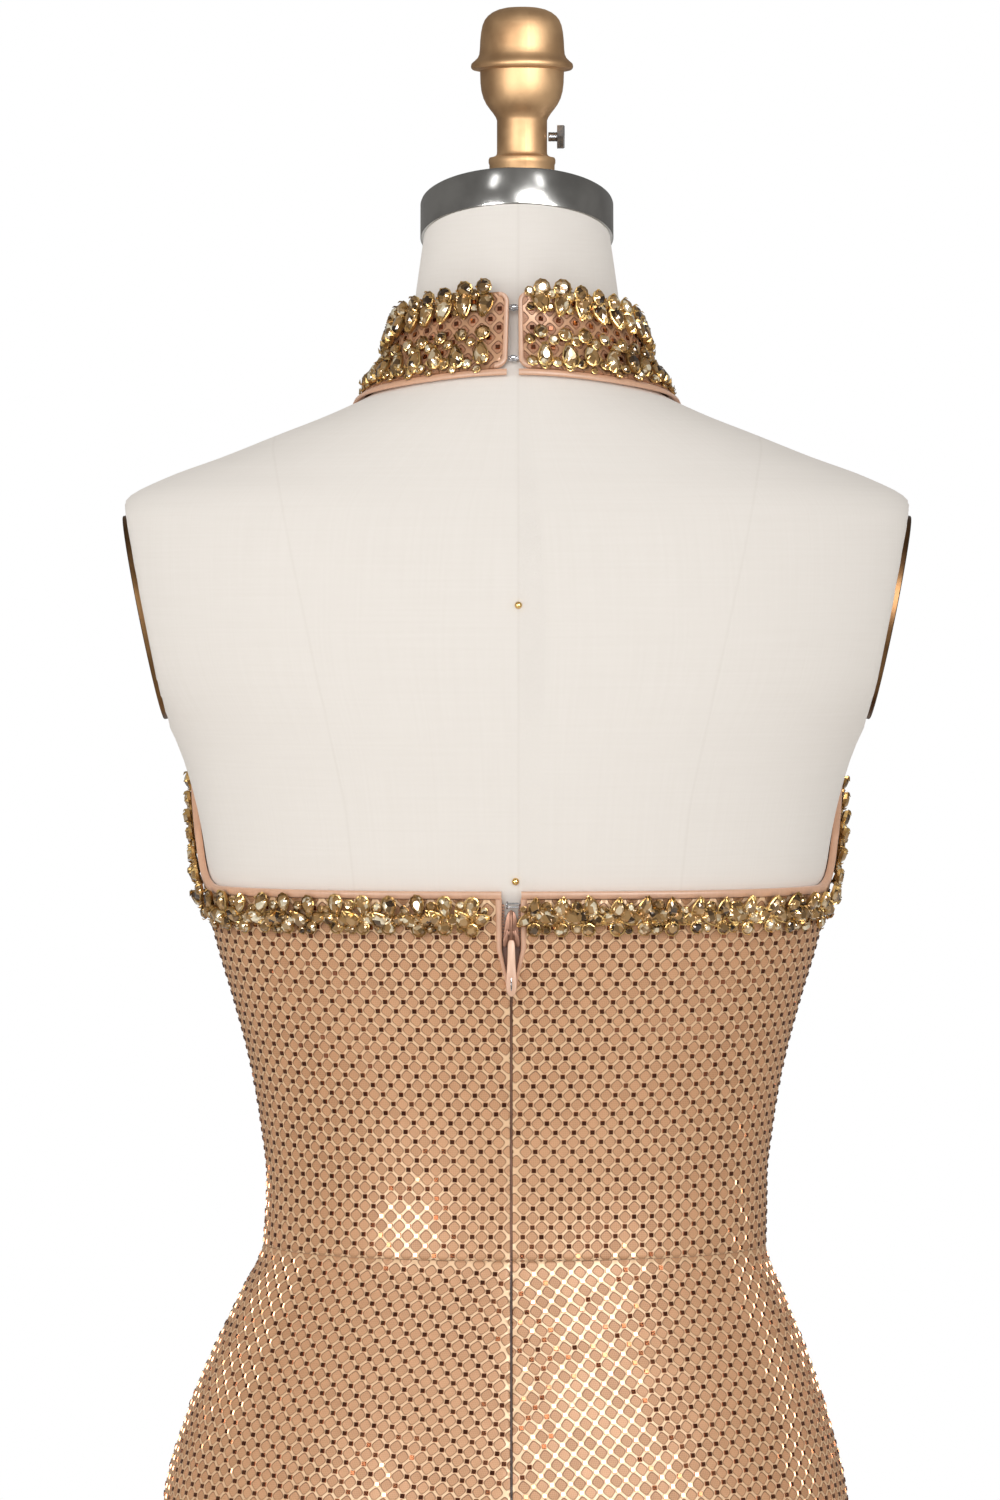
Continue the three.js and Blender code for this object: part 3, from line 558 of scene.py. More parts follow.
def blend(tree, factor, a, b):
    """Mixes two colours, given as sockets or as sRGB values of 0 to 255."""
    node = add_node(tree, "ShaderNodeMix", data_type="RGBA")
    for index, value in ((0, factor), (6, a), (7, b)):
        if isinstance(value, bpy.types.NodeSocket):
            tree.links.new(value, node.inputs[index])
        else:
            node.inputs[index].default_value = value if index == 0 else colour(value)
    return node.outputs[2]


def colour(rgb):
    """An sRGB colour of 0 to 255 as linear light."""
    shares = [value / 255 for value in rgb]
    return tuple(s / 12.92 if s <= 0.04045 else ((s + 0.055) / 1.055) ** 2.4 for s in shares) + (1.0,)


def new_group(name, inputs, outputs, kind="ShaderNodeTree"):
    """A node group with named sockets. Returns the tree, its input node and its output node."""
    tree = bpy.data.node_groups.new(name, kind)
    for direction, sockets in (("INPUT", inputs), ("OUTPUT", outputs)):
        for socket_name, socket_kind, default in sockets:
            socket = tree.interface.new_socket(name=socket_name, in_out=direction, socket_type=socket_kind)
            if default is not None:
                socket.default_value = default
    return tree, tree.nodes.new("NodeGroupInput"), tree.nodes.new("NodeGroupOutput")


FLOAT, VECTOR = "NodeSocketFloat", "NodeSocketVector"


def lattice_group():
    """Masks and height of the enamel cells, from lattice coordinates whose whole numbers are the rims."""
    tree, given, out = new_group(
        "enamel_lattice",
        [("Place", VECTOR, None), ("Rim Start", FLOAT, 0.365), ("Rim Full", FLOAT, 0.41),
         ("Hatch Count", FLOAT, 5.0)],
        [(name, FLOAT, None) for name in ("Rim", "Shade", "Cell", "Hatch", "Height")],
    )
    place_in = given.outputs["Place"]
    local = add_node(tree, "ShaderNodeVectorMath", {0: place_in}, operation="FRACTION").outputs[0]
    local = add_node(tree, "ShaderNodeVectorMath", {0: local, 1: (0.5, 0.5, 0)}, operation="SUBTRACT")
    parts = add_node(tree, "ShaderNodeSeparateXYZ", {0: local.outputs[0]}).outputs
    powers = [maths(tree, "POWER", maths(tree, "ABSOLUTE", parts[i]), 4.0) for i in (0, 1)]
    metric = maths(tree, "POWER", maths(tree, "ADD", *powers), 1 / 4)
    rim = ramp(tree, metric, given.outputs["Rim Start"], given.outputs["Rim Full"])
    cell_floor = add_node(tree, "ShaderNodeVectorMath", {0: place_in}, operation="FLOOR").outputs[0]
    cell = add_node(tree, "ShaderNodeTexWhiteNoise", {0: cell_floor}, noise_dimensions="3D").outputs[0]
    waves = []
    for sign in ("ADD", "SUBTRACT"):
        line = maths(tree, sign, parts[0], parts[1])
        turns = maths(tree, "MULTIPLY", given.outputs["Hatch Count"], 2 * math.pi)
        line = maths(tree, "MULTIPLY", line, turns)
        waves.append(maths(tree, "MULTIPLY_ADD", maths(tree, "COSINE", line), 0.5, 0.5))
    hatch = maths(tree, "MAXIMUM", *waves)
    hatch = maths(tree, "MULTIPLY", ramp(tree, hatch, 0.6, 1.0), maths(tree, "SUBTRACT", 1.0, rim))
    height = maths(tree, "MULTIPLY_ADD", hatch, -0.12, rim)
    # Shade is painted shade: a ring just inside each rim, darker towards one side of the cell, as if lit from the
    # other
    ring = maths(tree, "MULTIPLY", ramp(tree, metric, 0.28, 0.37), maths(tree, "SUBTRACT", 1.0, rim))
    lower = ramp(tree, maths(tree, "SUBTRACT", parts[0], parts[1]), -0.5, 0.5, 0.35, 1.0)
    shade = maths(tree, "MULTIPLY", ring, lower)
    masks = {"Rim": rim, "Shade": shade, "Cell": cell, "Hatch": hatch, "Height": height}
    for name, value in masks.items():
        tree.links.new(value, out.inputs[name])
    return tree


def weave_group():
    """Plain weave over a flat or curved place given in millimetres."""
    tree, given, out = new_group(
        "plain_weave",
        [("Place", VECTOR, None), ("Pitch", FLOAT, 0.6), ("Slub", FLOAT, 0.5)],
        [("Thread", FLOAT, None), ("Shade", FLOAT, None)],
    )
    turns = maths(tree, "DIVIDE", 2 * math.pi, given.outputs["Pitch"])
    parts = add_node(tree, "ShaderNodeSeparateXYZ", {0: given.outputs["Place"]}).outputs
    warp = maths(tree, "SINE", maths(tree, "MULTIPLY", parts[0], turns))
    weft = maths(tree, "SINE", maths(tree, "MULTIPLY", parts[1], turns))
    thread = maths(tree, "MULTIPLY_ADD", maths(tree, "MULTIPLY", warp, weft), 0.5, 0.5)
    shades = []
    for stretch in ((0.02, 1.1, 0.02), (1.1, 0.02, 0.02)):
        stretched = add_node(tree, "ShaderNodeVectorMath", {0: given.outputs["Place"], 1: stretch},
                             operation="MULTIPLY").outputs[0]
        noise = add_node(tree, "ShaderNodeTexNoise", {"Vector": stretched, "Scale": 0.8, "Detail": 3.0})
        shades.append(noise.outputs[0])
    slub = maths(tree, "MULTIPLY", maths(tree, "ADD", *shades), 0.5)
    shade = maths(tree, "MULTIPLY_ADD", maths(tree, "SUBTRACT", slub, 0.5), given.outputs["Slub"], 0.5)
    tree.links.new(thread, out.inputs["Thread"])
    tree.links.new(shade, out.inputs["Shade"])
    return tree


def wear_and_lit_cloud_group():
    """Clouds and fine scratches over Object coordinates: rubbing on metal, and clouds of painted light on the enamel
    mesh.
    """
    tree, given, out = new_group(
        "rubbing_and_lit_clouds",
        [("Place", VECTOR, None), ("Cloud Scale", FLOAT, 30.0), ("Grain Scale", FLOAT, 900.0)],
        [("Cloud", FLOAT, None), ("Grain", FLOAT, None)],
    )
    cloud = add_node(tree, "ShaderNodeTexNoise",
                     {"Vector": given.outputs["Place"], "Scale": given.outputs["Cloud Scale"], "Detail": 4.0})
    grain = add_node(tree, "ShaderNodeTexNoise",
                     {"Vector": given.outputs["Place"], "Scale": given.outputs["Grain Scale"], "Detail": 2.0})
    tree.links.new(cloud.outputs[0], out.inputs["Cloud"])
    tree.links.new(grain.outputs[0], out.inputs["Grain"])
    return tree


LATTICE_GROUP, WEAVE_GROUP, WEAR_AND_LIT_CLOUD_GROUP = lattice_group(), weave_group(), wear_and_lit_cloud_group()


def new_finish(name, **sockets):
    """A material with a Principled shader. Returns the material, its tree and the shader."""
    finish = bpy.data.materials.new(name)
    finish.use_nodes = True
    tree = finish.node_tree
    shader = next(node for node in tree.nodes if node.type == "BSDF_PRINCIPLED")
    for key, value in sockets.items():
        shader.inputs[key.replace("_", " ")].default_value = value
    return finish, tree, shader


def use_group(tree, group, **inputs):
    node = tree.nodes.new("ShaderNodeGroup")
    node.node_tree = group
    for key, value in inputs.items():
        key = key.replace("_", " ")
        if isinstance(value, bpy.types.NodeSocket):
            tree.links.new(value, node.inputs[key])
        else:
            node.inputs[key].default_value = value
    return node.outputs


def bump(tree, shader, height, distance, strength=1.0):
    node = add_node(tree, "ShaderNodeBump", {"Strength": strength, "Distance": distance, "Height": height})
    tree.links.new(node.outputs[0], shader.inputs["Normal"])


# painted shadow of the folded edges at the opening
FOLD_SHADOW = (84, 48, 30)


def enamel_mesh_finish(name, plate, plate_dark, rim_colour, lit, shadow):
    """Sunken enamel plates between raised rims, with painted shade inside the rims, clouds of painted light, and
    painted shadow along folded edges.
    """
    finish, tree, shader = new_finish(name, Metallic=0.06, Coat_Weight=0.03, Coat_Roughness=0.25,
                                      Specular_IOR_Level=0.22)
    uv = add_node(tree, "ShaderNodeUVMap", uv_map="lattice").outputs[0]
    cells = use_group(tree, LATTICE_GROUP, Place=uv)
    base = blend(tree, cells["Cell"], plate, plate_dark)
    base = blend(tree, maths(tree, "MULTIPLY", cells["Hatch"], 0.3), base, rim_colour)
    # painted shade inside the rims
    base = blend(tree, maths(tree, "MULTIPLY", cells["Shade"], 0.75), base, shadow)
    base = blend(tree, maths(tree, "MULTIPLY", cells["Rim"], 0.95), base, rim_colour)
    # painted light: random clouds of a lighter, lit colour over the cells
    coordinates = add_node(tree, "ShaderNodeTexCoord").outputs["Object"]
    cloud = use_group(tree, WEAR_AND_LIT_CLOUD_GROUP, Place=coordinates, Cloud_Scale=14.0, Grain_Scale=700.0)
    base = blend(tree, ramp(tree, cloud["Cloud"], 0.35, 0.7, 0.0, 0.25), base, lit)
    # painted shadow along the folded edge, from its mask
    fold_shade = add_node(tree, "ShaderNodeAttribute", attribute_name="fold_shade").outputs["Fac"]
    base = blend(tree, ramp(tree, fold_shade, 0.84, 0.93), base, FOLD_SHADOW)
    tree.links.new(base, shader.inputs["Base Color"])
    rough = ramp(tree, cells["Cell"], 0, 1, 0.38, 0.5, smooth=False)
    rough = maths(tree, "MULTIPLY_ADD", cells["Rim"], -0.06, rough)
    tree.links.new(rough, shader.inputs["Roughness"])
    bump(tree, shader, cells["Height"], 0.0008)
    return finish


def stud_finish():
    """Dark mirrors that show only what stands in front of them."""
    finish, tree, shader = new_finish("mirror_stud", Metallic=1.0, Coat_Weight=0.6, Coat_Roughness=0.05)
    glint = add_node(tree, "ShaderNodeAttribute", attribute_name="glint").outputs["Fac"]
    base = blend(tree, glint, (138, 78, 48), (168, 108, 74))
    tree.links.new(base, shader.inputs["Base Color"])
    tree.links.new(ramp(tree, glint, 0, 1, 0.05, 0.14, smooth=False), shader.inputs["Roughness"])
    return finish


def satin_finish(name, low, high):
    finish, tree, shader = new_finish(name, Sheen_Weight=0.3, Sheen_Roughness=0.4)
    coordinates = add_node(tree, "ShaderNodeTexCoord").outputs["Object"]
    per_metre = (1 / MM,) * 3
    place_in = add_node(tree, "ShaderNodeVectorMath", {0: coordinates, 1: per_metre}, operation="MULTIPLY")
    weave = use_group(tree, WEAVE_GROUP, Place=place_in.outputs[0], Pitch=0.35, Slub=0.8)
    base = blend(tree, weave["Shade"], low, high)
    tree.links.new(base, shader.inputs["Base Color"])
    tree.links.new(ramp(tree, weave["Shade"], 0, 1, 0.36, 0.52, smooth=False), shader.inputs["Roughness"])
    bump(tree, shader, weave["Shade"], 0.0002, 0.4)
    return finish


def linen_finish():
    finish, tree, shader = new_finish("cream_linen", Roughness=0.9)
    uv = add_node(tree, "ShaderNodeUVMap", uv_map="lattice").outputs[0]
    weave = use_group(tree, WEAVE_GROUP, Place=uv, Pitch=0.9, Slub=1.0)
    base = blend(tree, weave["Shade"], (236, 229, 220), (246, 240, 233))
    base = blend(tree, maths(tree, "MULTIPLY", weave["Thread"], 0.06), base, (216, 206, 194))
    seam = add_node(tree, "ShaderNodeAttribute", attribute_name="seam").outputs["Fac"]
    away = maths(tree, "ABSOLUTE", seam)
    groove = ramp(tree, away, 0.1, 1.1, 1.0, 0.0)
    base = blend(tree, maths(tree, "MULTIPLY", groove, 0.08), base, (196, 184, 170))
    tree.links.new(base, shader.inputs["Base Color"])
    tree.links.new(ramp(tree, weave["Shade"], 0, 1, 0.84, 0.94, smooth=False), shader.inputs["Roughness"])
    thread = maths(tree, "MULTIPLY", weave["Thread"], 0.3)
    height = maths(tree, "SUBTRACT", thread, maths(tree, "MULTIPLY", groove, 0.4))
    bump(tree, shader, height, 0.0002, 0.4)
    return finish


def metal_finish(name, low, high, roughness, grain=0.2, metallic=1.0, depth=0.00005):
    """Metal or lacquer whose colour and gloss change in clouds."""
    finish, tree, shader = new_finish(name, Metallic=metallic)
    coordinates = add_node(tree, "ShaderNodeTexCoord").outputs["Object"]
    wear = use_group(tree, WEAR_AND_LIT_CLOUD_GROUP, Place=coordinates)
    tree.links.new(blend(tree, ramp(tree, wear["Cloud"], 0.3, 0.7), low, high), shader.inputs["Base Color"])
    rough = ramp(tree, wear["Cloud"], 0.3, 0.7, roughness[0], roughness[1], smooth=False)
    tree.links.new(rough, shader.inputs["Roughness"])
    bump(tree, shader, wear["Grain"], depth, grain)
    return finish


def crystal_finish(name, deep, middle, sparkle_white):
    """Foiled crystal whose facets differ in tone, with dark facets painted as shade and near-white facets painted as
    sparkles.
    """
    finish, tree, shader = new_finish(name, Metallic=0.35, Coat_Weight=1.0, Coat_Roughness=0.02)
    glint = add_node(tree, "ShaderNodeAttribute", attribute_name="glint").outputs["Fac"]
    coordinates = add_node(tree, "ShaderNodeTexCoord").outputs["Object"]
    facets = add_node(tree, "ShaderNodeTexVoronoi", {"Vector": coordinates, "Scale": 330.0})
    spark = add_node(tree, "ShaderNodeSeparateColor", {0: facets.outputs["Color"]}).outputs[0]
    # facets picked at random: low tone is painted dark as shade, high tone is painted near white as sparkle
    tone = maths(tree, "MULTIPLY_ADD", glint, 0.3, maths(tree, "MULTIPLY", spark, 0.7))
    base = blend(tree, ramp(tree, tone, 0.1, 0.5), deep, middle)
    base = blend(tree, ramp(tree, tone, 0.6, 0.88), base, sparkle_white)
    tree.links.new(base, shader.inputs["Base Color"])
    tree.links.new(ramp(tree, spark, 0, 1, 0.03, 0.14, smooth=False), shader.inputs["Roughness"])
    return finish


FINISH = {
    "mesh": enamel_mesh_finish("enamel_mesh", plate=(214, 158, 116), plate_dark=(192, 138, 98),
                               rim_colour=(246, 208, 166), lit=(232, 182, 140), shadow=(132, 82, 54)),
    # the collar's cloth is the same enamel mesh, painted darker as shade among its stones and crinkles
    "collar_mesh_shaded": enamel_mesh_finish("collar_mesh_shaded", plate=(190, 136, 102), plate_dark=(168, 116, 84),
                                      rim_colour=(214, 166, 128), lit=(200, 148, 112), shadow=(104, 64, 44)),
    "stud": stud_finish(),
    "satin": satin_finish("peach_satin", (212, 160, 126), (238, 192, 160)),
    # the tape's dark brown is partly its own colour, partly painted shade of the narrow gap it lies in
    "tape": satin_finish("zip_tape", (104, 70, 56), (138, 98, 80)),
    "linen": linen_finish(),
    "steel": metal_finish("polished_steel", (176, 175, 172), (206, 205, 201), (0.16, 0.26)),
    "gold": metal_finish("cast_gold", (168, 130, 92), (206, 170, 128), (0.46, 0.6), grain=0.6, metallic=0.85),
    "bronze": metal_finish("dark_bronze", (84, 60, 40), (128, 96, 62), (0.3, 0.46)),
    "slider": metal_finish("zip_slider", (134, 94, 74), (176, 134, 112), (0.4, 0.52), metallic=0.5),
    "brass": metal_finish("bright_brass", (196, 152, 84), (232, 196, 128), (0.18, 0.3)),
    "setting": metal_finish("gold_setting", (146, 108, 58), (226, 192, 126), (0.24, 0.4), metallic=0.85),
    "iron": metal_finish("enamelled_iron", (44, 42, 40), (66, 63, 60), (0.36, 0.5), metallic=0.4,
                         depth=0.0002),
    "nickel": metal_finish("nickel_wire", (150, 150, 152), (206, 206, 208), (0.14, 0.26)),
    "enamel": metal_finish("nude_enamel", (218, 172, 142), (238, 198, 168), (0.42, 0.52), metallic=0.05),
    "crystal": crystal_finish("champagne_crystal", (58, 40, 22), (184, 144, 90), (255, 242, 210)),
}


# Pieces that repeat are set on points by one tree

def scatter_tree():
    """Sets a shape on every point, turned by the point's turn and its size, with a small random tilt."""
    tree, given, out = new_group(
        "set_on_points",
        [("Geometry", "NodeSocketGeometry", None), ("Shape", "NodeSocketObject", None),
         ("Tilt", FLOAT, 0.0), ("Seed", "NodeSocketInt", 1), ("Finish", "NodeSocketMaterial", None)],
        [("Geometry", "NodeSocketGeometry", None)],
        kind="GeometryNodeTree",
    )
    fields = {}
    for name in ("turn", "size"):
        field = add_node(tree, "GeometryNodeInputNamedAttribute", {"Name": name}, data_type="FLOAT_VECTOR")
        fields[name] = field.outputs[0]
    limits = []
    for sign in (-1, 1):
        inputs = {0: (sign,) * 3, "Scale": given.outputs["Tilt"]}
        limits.append(add_node(tree, "ShaderNodeVectorMath", inputs, operation="SCALE").outputs[0])
    inputs = {0: limits[0], 1: limits[1], "Seed": given.outputs["Seed"]}
    chance = add_node(tree, "FunctionNodeRandomValue", inputs, data_type="FLOAT_VECTOR")
    turned = add_node(tree, "FunctionNodeEulerToRotation", {0: fields["turn"]}).outputs[0]
    tilted = add_node(tree, "FunctionNodeEulerToRotation", {0: chance.outputs[0]}).outputs[0]
    rotation = add_node(tree, "FunctionNodeRotateRotation", {0: turned, 1: tilted}, rotation_space="LOCAL")
    shape = add_node(tree, "GeometryNodeObjectInfo", {"Object": given.outputs["Shape"], "As Instance": True})
    on_points = add_node(tree, "GeometryNodeInstanceOnPoints", {
        "Points": given.outputs["Geometry"], "Instance": shape.outputs["Geometry"],
        "Rotation": rotation.outputs[0], "Scale": fields["size"]})
    inputs = {2: 0.0, 3: 1.0, "Seed": given.outputs["Seed"]}
    glint = add_node(tree, "FunctionNodeRandomValue", inputs, data_type="FLOAT")
    stored = add_node(tree, "GeometryNodeStoreNamedAttribute",
                      {"Geometry": on_points.outputs[0], "Name": "glint", "Value": glint.outputs[1]},
                      data_type="FLOAT", domain="INSTANCE")
    real = add_node(tree, "GeometryNodeRealizeInstances", {0: stored.outputs[0]})
    inputs = {"Geometry": real.outputs[0], "Material": given.outputs["Finish"]}
    finished = add_node(tree, "GeometryNodeSetMaterial", inputs)
    tree.links.new(finished.outputs[0], out.inputs[0])
    return tree


SCATTER = scatter_tree()


def shape_mesh(name, points, faces):
    """A small shape for the scatter tree, kept out of the render."""
    shape = make_mesh(name, points, faces, smooth=False)
    shape.hide_render = True
    return shape


def scatter(name, shape, places, turns, finish, size=1.0, tilt=0.0, seed=1):
    """One mesh with a shape on every place. turns are Euler angles."""
    size = np.broadcast_to(np.reshape(size, (-1, 1)), (len(places), 3))
    attributes = {"turn": turns, "size": size}
    seeds = make_mesh(name + "_places", places, np.empty((0, 3), int), attributes=attributes)
    modifier = seeds.modifiers.new("set", "NODES")
    modifier.node_group = SCATTER
    values = {"Shape": shape, "Tilt": tilt, "Seed": seed, "Finish": finish}
    for item in SCATTER.interface.items_tree:
        if item.in_out == "INPUT" and item.name in values:
            modifier[item.identifier] = values[item.name]
    evaluated = seeds.evaluated_get(bpy.context.evaluated_depsgraph_get())
    mesh = bpy.data.meshes.new_from_object(evaluated)
    mesh.name = name
    seeds.modifiers.remove(modifier)
    bpy.data.objects.remove(seeds)
    piece = bpy.data.objects.new(name, mesh)
    bpy.context.scene.collection.objects.link(piece)
    return piece


def euler_turns(across, normal):
    """Euler angles that turn X to the across direction and Z to the normal."""
    z = unit(normal)
    x = unit(across - z * np.sum(across * z, -1, keepdims=True))
    y = np.cross(z, x)
    return np.stack([
        np.arctan2(y[:, 2], z[:, 2]),
        np.arcsin(np.clip(-x[:, 2], -1, 1)),
        np.arctan2(x[:, 1], x[:, 0]),
    ], axis=1)


# Mesh cloth: enamel cells between studs, on a slanting lattice

CELL = {"across": 8.8, "down": 9.2}
RELIEF = {"rim": 3.5, "middle": 3.05, "inside": 2.05}
STUD = {"base": 2.35, "top": 1.9, "tall": 0.55, "lift": -0.05, "tilt": 2.2 * DEG}
LEAST_FACE = {"outside": 0.02, "lining": 0.5}
LINING_STEP = 4


def stud_shape():
    base, top = STUD["base"] / 2, STUD["top"] / 2
    corners = ((-1, -1), (1, -1), (1, 1), (-1, 1))
    points = [(x * half, y * half, z) for half, z in ((base, 0), (top, STUD["tall"])) for x, y in corners]
    faces = [(4, 5, 6, 7)] + [(i, (i + 1) % 4, (i + 1) % 4 + 4, i + 4) for i in range(4)]
    return shape_mesh("stud_shape", points, faces)


STUD_SHAPE = stud_shape()


def cell_sheet(name, surface, a, b, across, down, free, seed, fold_shade=None):
    """Cloth and studs from a quarter grid of the lattice.

    a and b place each grid point on the surface. across and down are its place in the flat cloth, and free
    tells the points that lie inside the piece from those that were drawn in to its edge. The last argument is the
    mask of painted shadow along an edge that is folded under: 1 on that edge, fading out beside it.
    """
    columns, rows = a.shape
    column, row = np.meshgrid(np.arange(columns), np.arange(rows), indexing="ij")
    index = column * rows + row
    even = (column % 2 == 0) & (row % 2 == 0)
    middle = even & ((column // 2 + row // 2) % 2 == 1)
    corner = even & ~middle
    offset = np.where(middle, RELIEF["middle"], RELIEF["rim"])
    points = surface(a, b, offset).reshape(-1, 3)
    ring = ((2, 0), (1, 1), (0, 2), (-1, 1), (-2, 0), (-1, -1), (0, -2), (1, -1))
    inner = (slice(2, -2), slice(2, -2))
    centres = index[inner][middle[inner]]
    around = [centres + dc * rows + dr for dc, dr in ring]
    faces = np.concatenate([np.stack([centres, around[i], around[(i + 1) % 8]], axis=1) for i in range(8)])
    sides = points[faces]
    normals = np.cross(sides[:, 1] - sides[:, 0], sides[:, 2] - sides[:, 0])
    kept = np.linalg.norm(normals, axis=1) > LEAST_FACE["outside"]
    faces, normals = faces[kept], normals[kept]
    away = surface(a, b, offset + 1).reshape(-1, 3)[faces[:, 0]] - points[faces[:, 0]]
    if np.sum(normals * away) < 0:
        faces = faces[:, ::-1]

    # the wall's cut edge and its inside
    directed = np.concatenate([faces[:, [0, 1]], faces[:, [1, 2]], faces[:, [2, 0]]])
    edges = np.sort(directed, axis=1)
    _, first, counts = np.unique(edges, axis=0, return_index=True, return_counts=True)
    border = directed[first[counts == 1]]
    inside = surface(a, b, np.full(a.shape, RELIEF["inside"])).reshape(-1, 3)
    total = len(points)
    start, end = border.T + 2 * total
    strips = np.stack([start, start + total, end + total, end], axis=1)
    flat = np.stack([across.ravel(), down.ravel()], axis=1)
    spread = flat[faces[:, 1:]] - flat[faces[:, :1]]
    area = np.sum(np.abs(spread[:, 0, 0] * spread[:, 1, 1] - spread[:, 0, 1] * spread[:, 1, 0])) / 2
    cut = {"flat": (np.ptp(across) * MM, np.ptp(down) * MM), "area": area * MM ** 2}
    coarse = index[::LINING_STEP, ::LINING_STEP] + total
    lining = np.stack([coarse[:-1, :-1], coarse[:-1, 1:], coarse[1:, 1:], coarse[1:, :-1]], axis=-1)
    lining = lining.reshape(-1, 4)
    both = np.tile(np.concatenate([points, inside]), (2, 1))
    corners = both[lining]
    spans = np.cross(corners[:, 2] - corners[:, 0], corners[:, 3] - corners[:, 1])
    kept = np.linalg.norm(spans, axis=1) > LEAST_FACE["lining"]
    lining, spans = lining[kept], spans[kept]
    facing = both[lining[:, 0] - total] - both[lining[:, 0]]
    if np.sum(spans * facing) > 0:
        lining = lining[:, ::-1]
    quads = np.concatenate([strips, lining])
    triangles = np.concatenate([faces, quads[:, [0, 1, 2]], quads[:, [0, 2, 3]]])

    used, triangles = np.unique(triangles, return_inverse=True)
    triangles = triangles.reshape(-1, 3)
    uv = np.stack([
        (across / CELL["across"] + down / CELL["down"]).ravel(),
        (across / CELL["across"] - down / CELL["down"]).ravel(),
    ], axis=1)
    attributes = None if fold_shade is None else {"fold_shade": np.tile(fold_shade.ravel(), 4)[used]}
    cloth = make_mesh(name, both[used], triangles, uv=np.tile(uv, (4, 1))[used], attributes=attributes)

    held = np.zeros_like(free)
    held[1:-1, 1:-1] = free[:-2, :-2] & free[2:, :-2] & free[:-2, 2:] & free[2:, 2:]
    spots = corner & held
    spots[:2], spots[-2:], spots[:, :2], spots[:, -2:] = False, False, False, False
    grid = points.reshape(columns, rows, 3)
    c, r = np.nonzero(spots)
    run = grid[c + 1, r + 1] + grid[c + 1, r - 1] - grid[c - 1, r + 1] - grid[c - 1, r - 1]
    normal = surface(a[c, r], b[c, r], 1.0) - surface(a[c, r], b[c, r], 0.0)
    places = grid[c, r] + normal * STUD["lift"]
    studs = scatter(name + "_studs", STUD_SHAPE, places, euler_turns(run, normal), FINISH["stud"],
                    tilt=STUD["tilt"], seed=seed)
    return cloth, studs, cut


def panel_sheet(name, panel, seed):
    """One cut panel. Its angles are measured from centre back towards its own side."""
    side, centre = panel["side"], panel["centre"]
    levels = np.arange(panel["low"], panel["high"] + 2, 2.0)
    levels[-1] = panel["high"]
    turns = np.linspace(centre - 100 * DEG, centre + 100 * DEG, 601)
    sections = figure_point(side * turns[None, :], levels[:, None])
    lengths = np.linalg.norm(np.diff(sections, axis=1), axis=2)
    reach = np.concatenate([np.zeros((len(levels), 1)), np.cumsum(lengths, axis=1)], axis=1)
    reach -= reach[:, 300:301]
    least = np.array([np.interp(panel["start"](level), turns, row) for level, row in zip(levels, reach)])
    most = np.array([np.interp(panel["end"](level), turns, row) for level, row in zip(levels, reach)])
    profile = figure_point(side * centre, levels)
    climb = np.concatenate([[0], np.cumsum(np.linalg.norm(np.diff(profile, axis=0), axis=1))])
    climb -= np.interp(0, levels, climb)

    quarter = (CELL["across"] / 4, CELL["down"] / 4)
    dip = panel.get("dip", 0)
    lowest = int(math.floor(climb[0] / quarter[1])) // 4 * 4 - 4
    sag = dip * max(np.max(np.abs(least)), np.max(np.abs(most))) ** 2 / 2
    highest = int(math.ceil((climb[-1] + sag) / quarter[1])) + 5
    first = int(math.floor(np.min(least) / quarter[0])) // 4 * 4 - 4
    last = int(math.ceil(np.max(most) / quarter[0])) + 5
    columns, rows = np.arange(first, last + 1), np.arange(lowest, highest + 1)
    across_flat, down_flat = np.meshgrid(columns * quarter[0], rows * quarter[1], indexing="ij")

    drawn = [np.clip(columns * quarter[0], low, high) for low, high in zip(least, most)]
    angles = np.array([np.interp(u, row, turns) for u, row in zip(drawn, reach)])
    drawn = np.array(drawn)
    wanted = down_flat - dip * across_flat ** 2 / 2
    height = np.interp(wanted, climb, levels)

    def by_column(values):
        return np.array([np.interp(height[i], levels, values[:, i]) for i in range(len(columns))])

    for _ in range(3):
        angle, across = by_column(angles), by_column(drawn)
        wanted = down_flat - dip * across ** 2 / 2
        height = np.interp(wanted, climb, levels)
        if "top" in panel:
            height = np.minimum(height, panel["top"](angle))
    angle, across = by_column(angles), by_column(drawn)
    down = np.interp(height, levels, climb) + dip * across ** 2 / 2
    free = (np.abs(across - across_flat) < 0.01) & (np.abs(down - down_flat) < 0.25)

    def surface(a, b, offset):
        proud = panel["proud"](b) if "proud" in panel else 0
        return skin(side * a, b, np.asarray(offset) + proud * (np.asarray(offset) > 2.5))

    from_start = across - np.interp(height, levels, least)
    # mask of painted shadow beside the folded opening edge, fading out over a quarter cell
    fold_shade = 1 - np.clip(from_start / quarter[0], 0, 1) if panel.get("folded") else None
    return cell_sheet(name, surface, angle, height, across, down, free, seed, fold_shade)


def seam_angle(angle, gap):
    return lambda height: angle + gap / 2 / figure_curve["half"](np.maximum(height, HEM))


def edge_lines():
    """Where the panels end under the binding: the height behind the side seam, and the angle before it."""
    edge = free_edge(1)
    distance = np.linspace(0, edge["length"], 400)
    angle, height = inside_edge(edge, distance, PANEL_EDGE)
    behind = angle < 90 * DEG
    before = ~behind & (np.arange(400) > 100)
    top = lambda a: np.interp(a, angle[behind], height[behind])
    start = lambda h: np.interp(h, height[before], angle[before])
    return top, start, float(height[before][0])


edge_top, edge_start, side_top = edge_lines()
# The waist seam lies just under a row of studs
WAIST_SEAM = -2.3
WAIST_GAP = 0.08
SKIRT_DIP = 1 / 1650
side_start, side_end = seam_angle(90 * DEG, SEAM), seam_angle(90 * DEG, -SEAM)


def waist_proud(height):
    """How far the bodice stands out over the skirt near the waist seam."""
    return 0.2 * np.maximum(0, 1 - height / (0.16 * side_top))


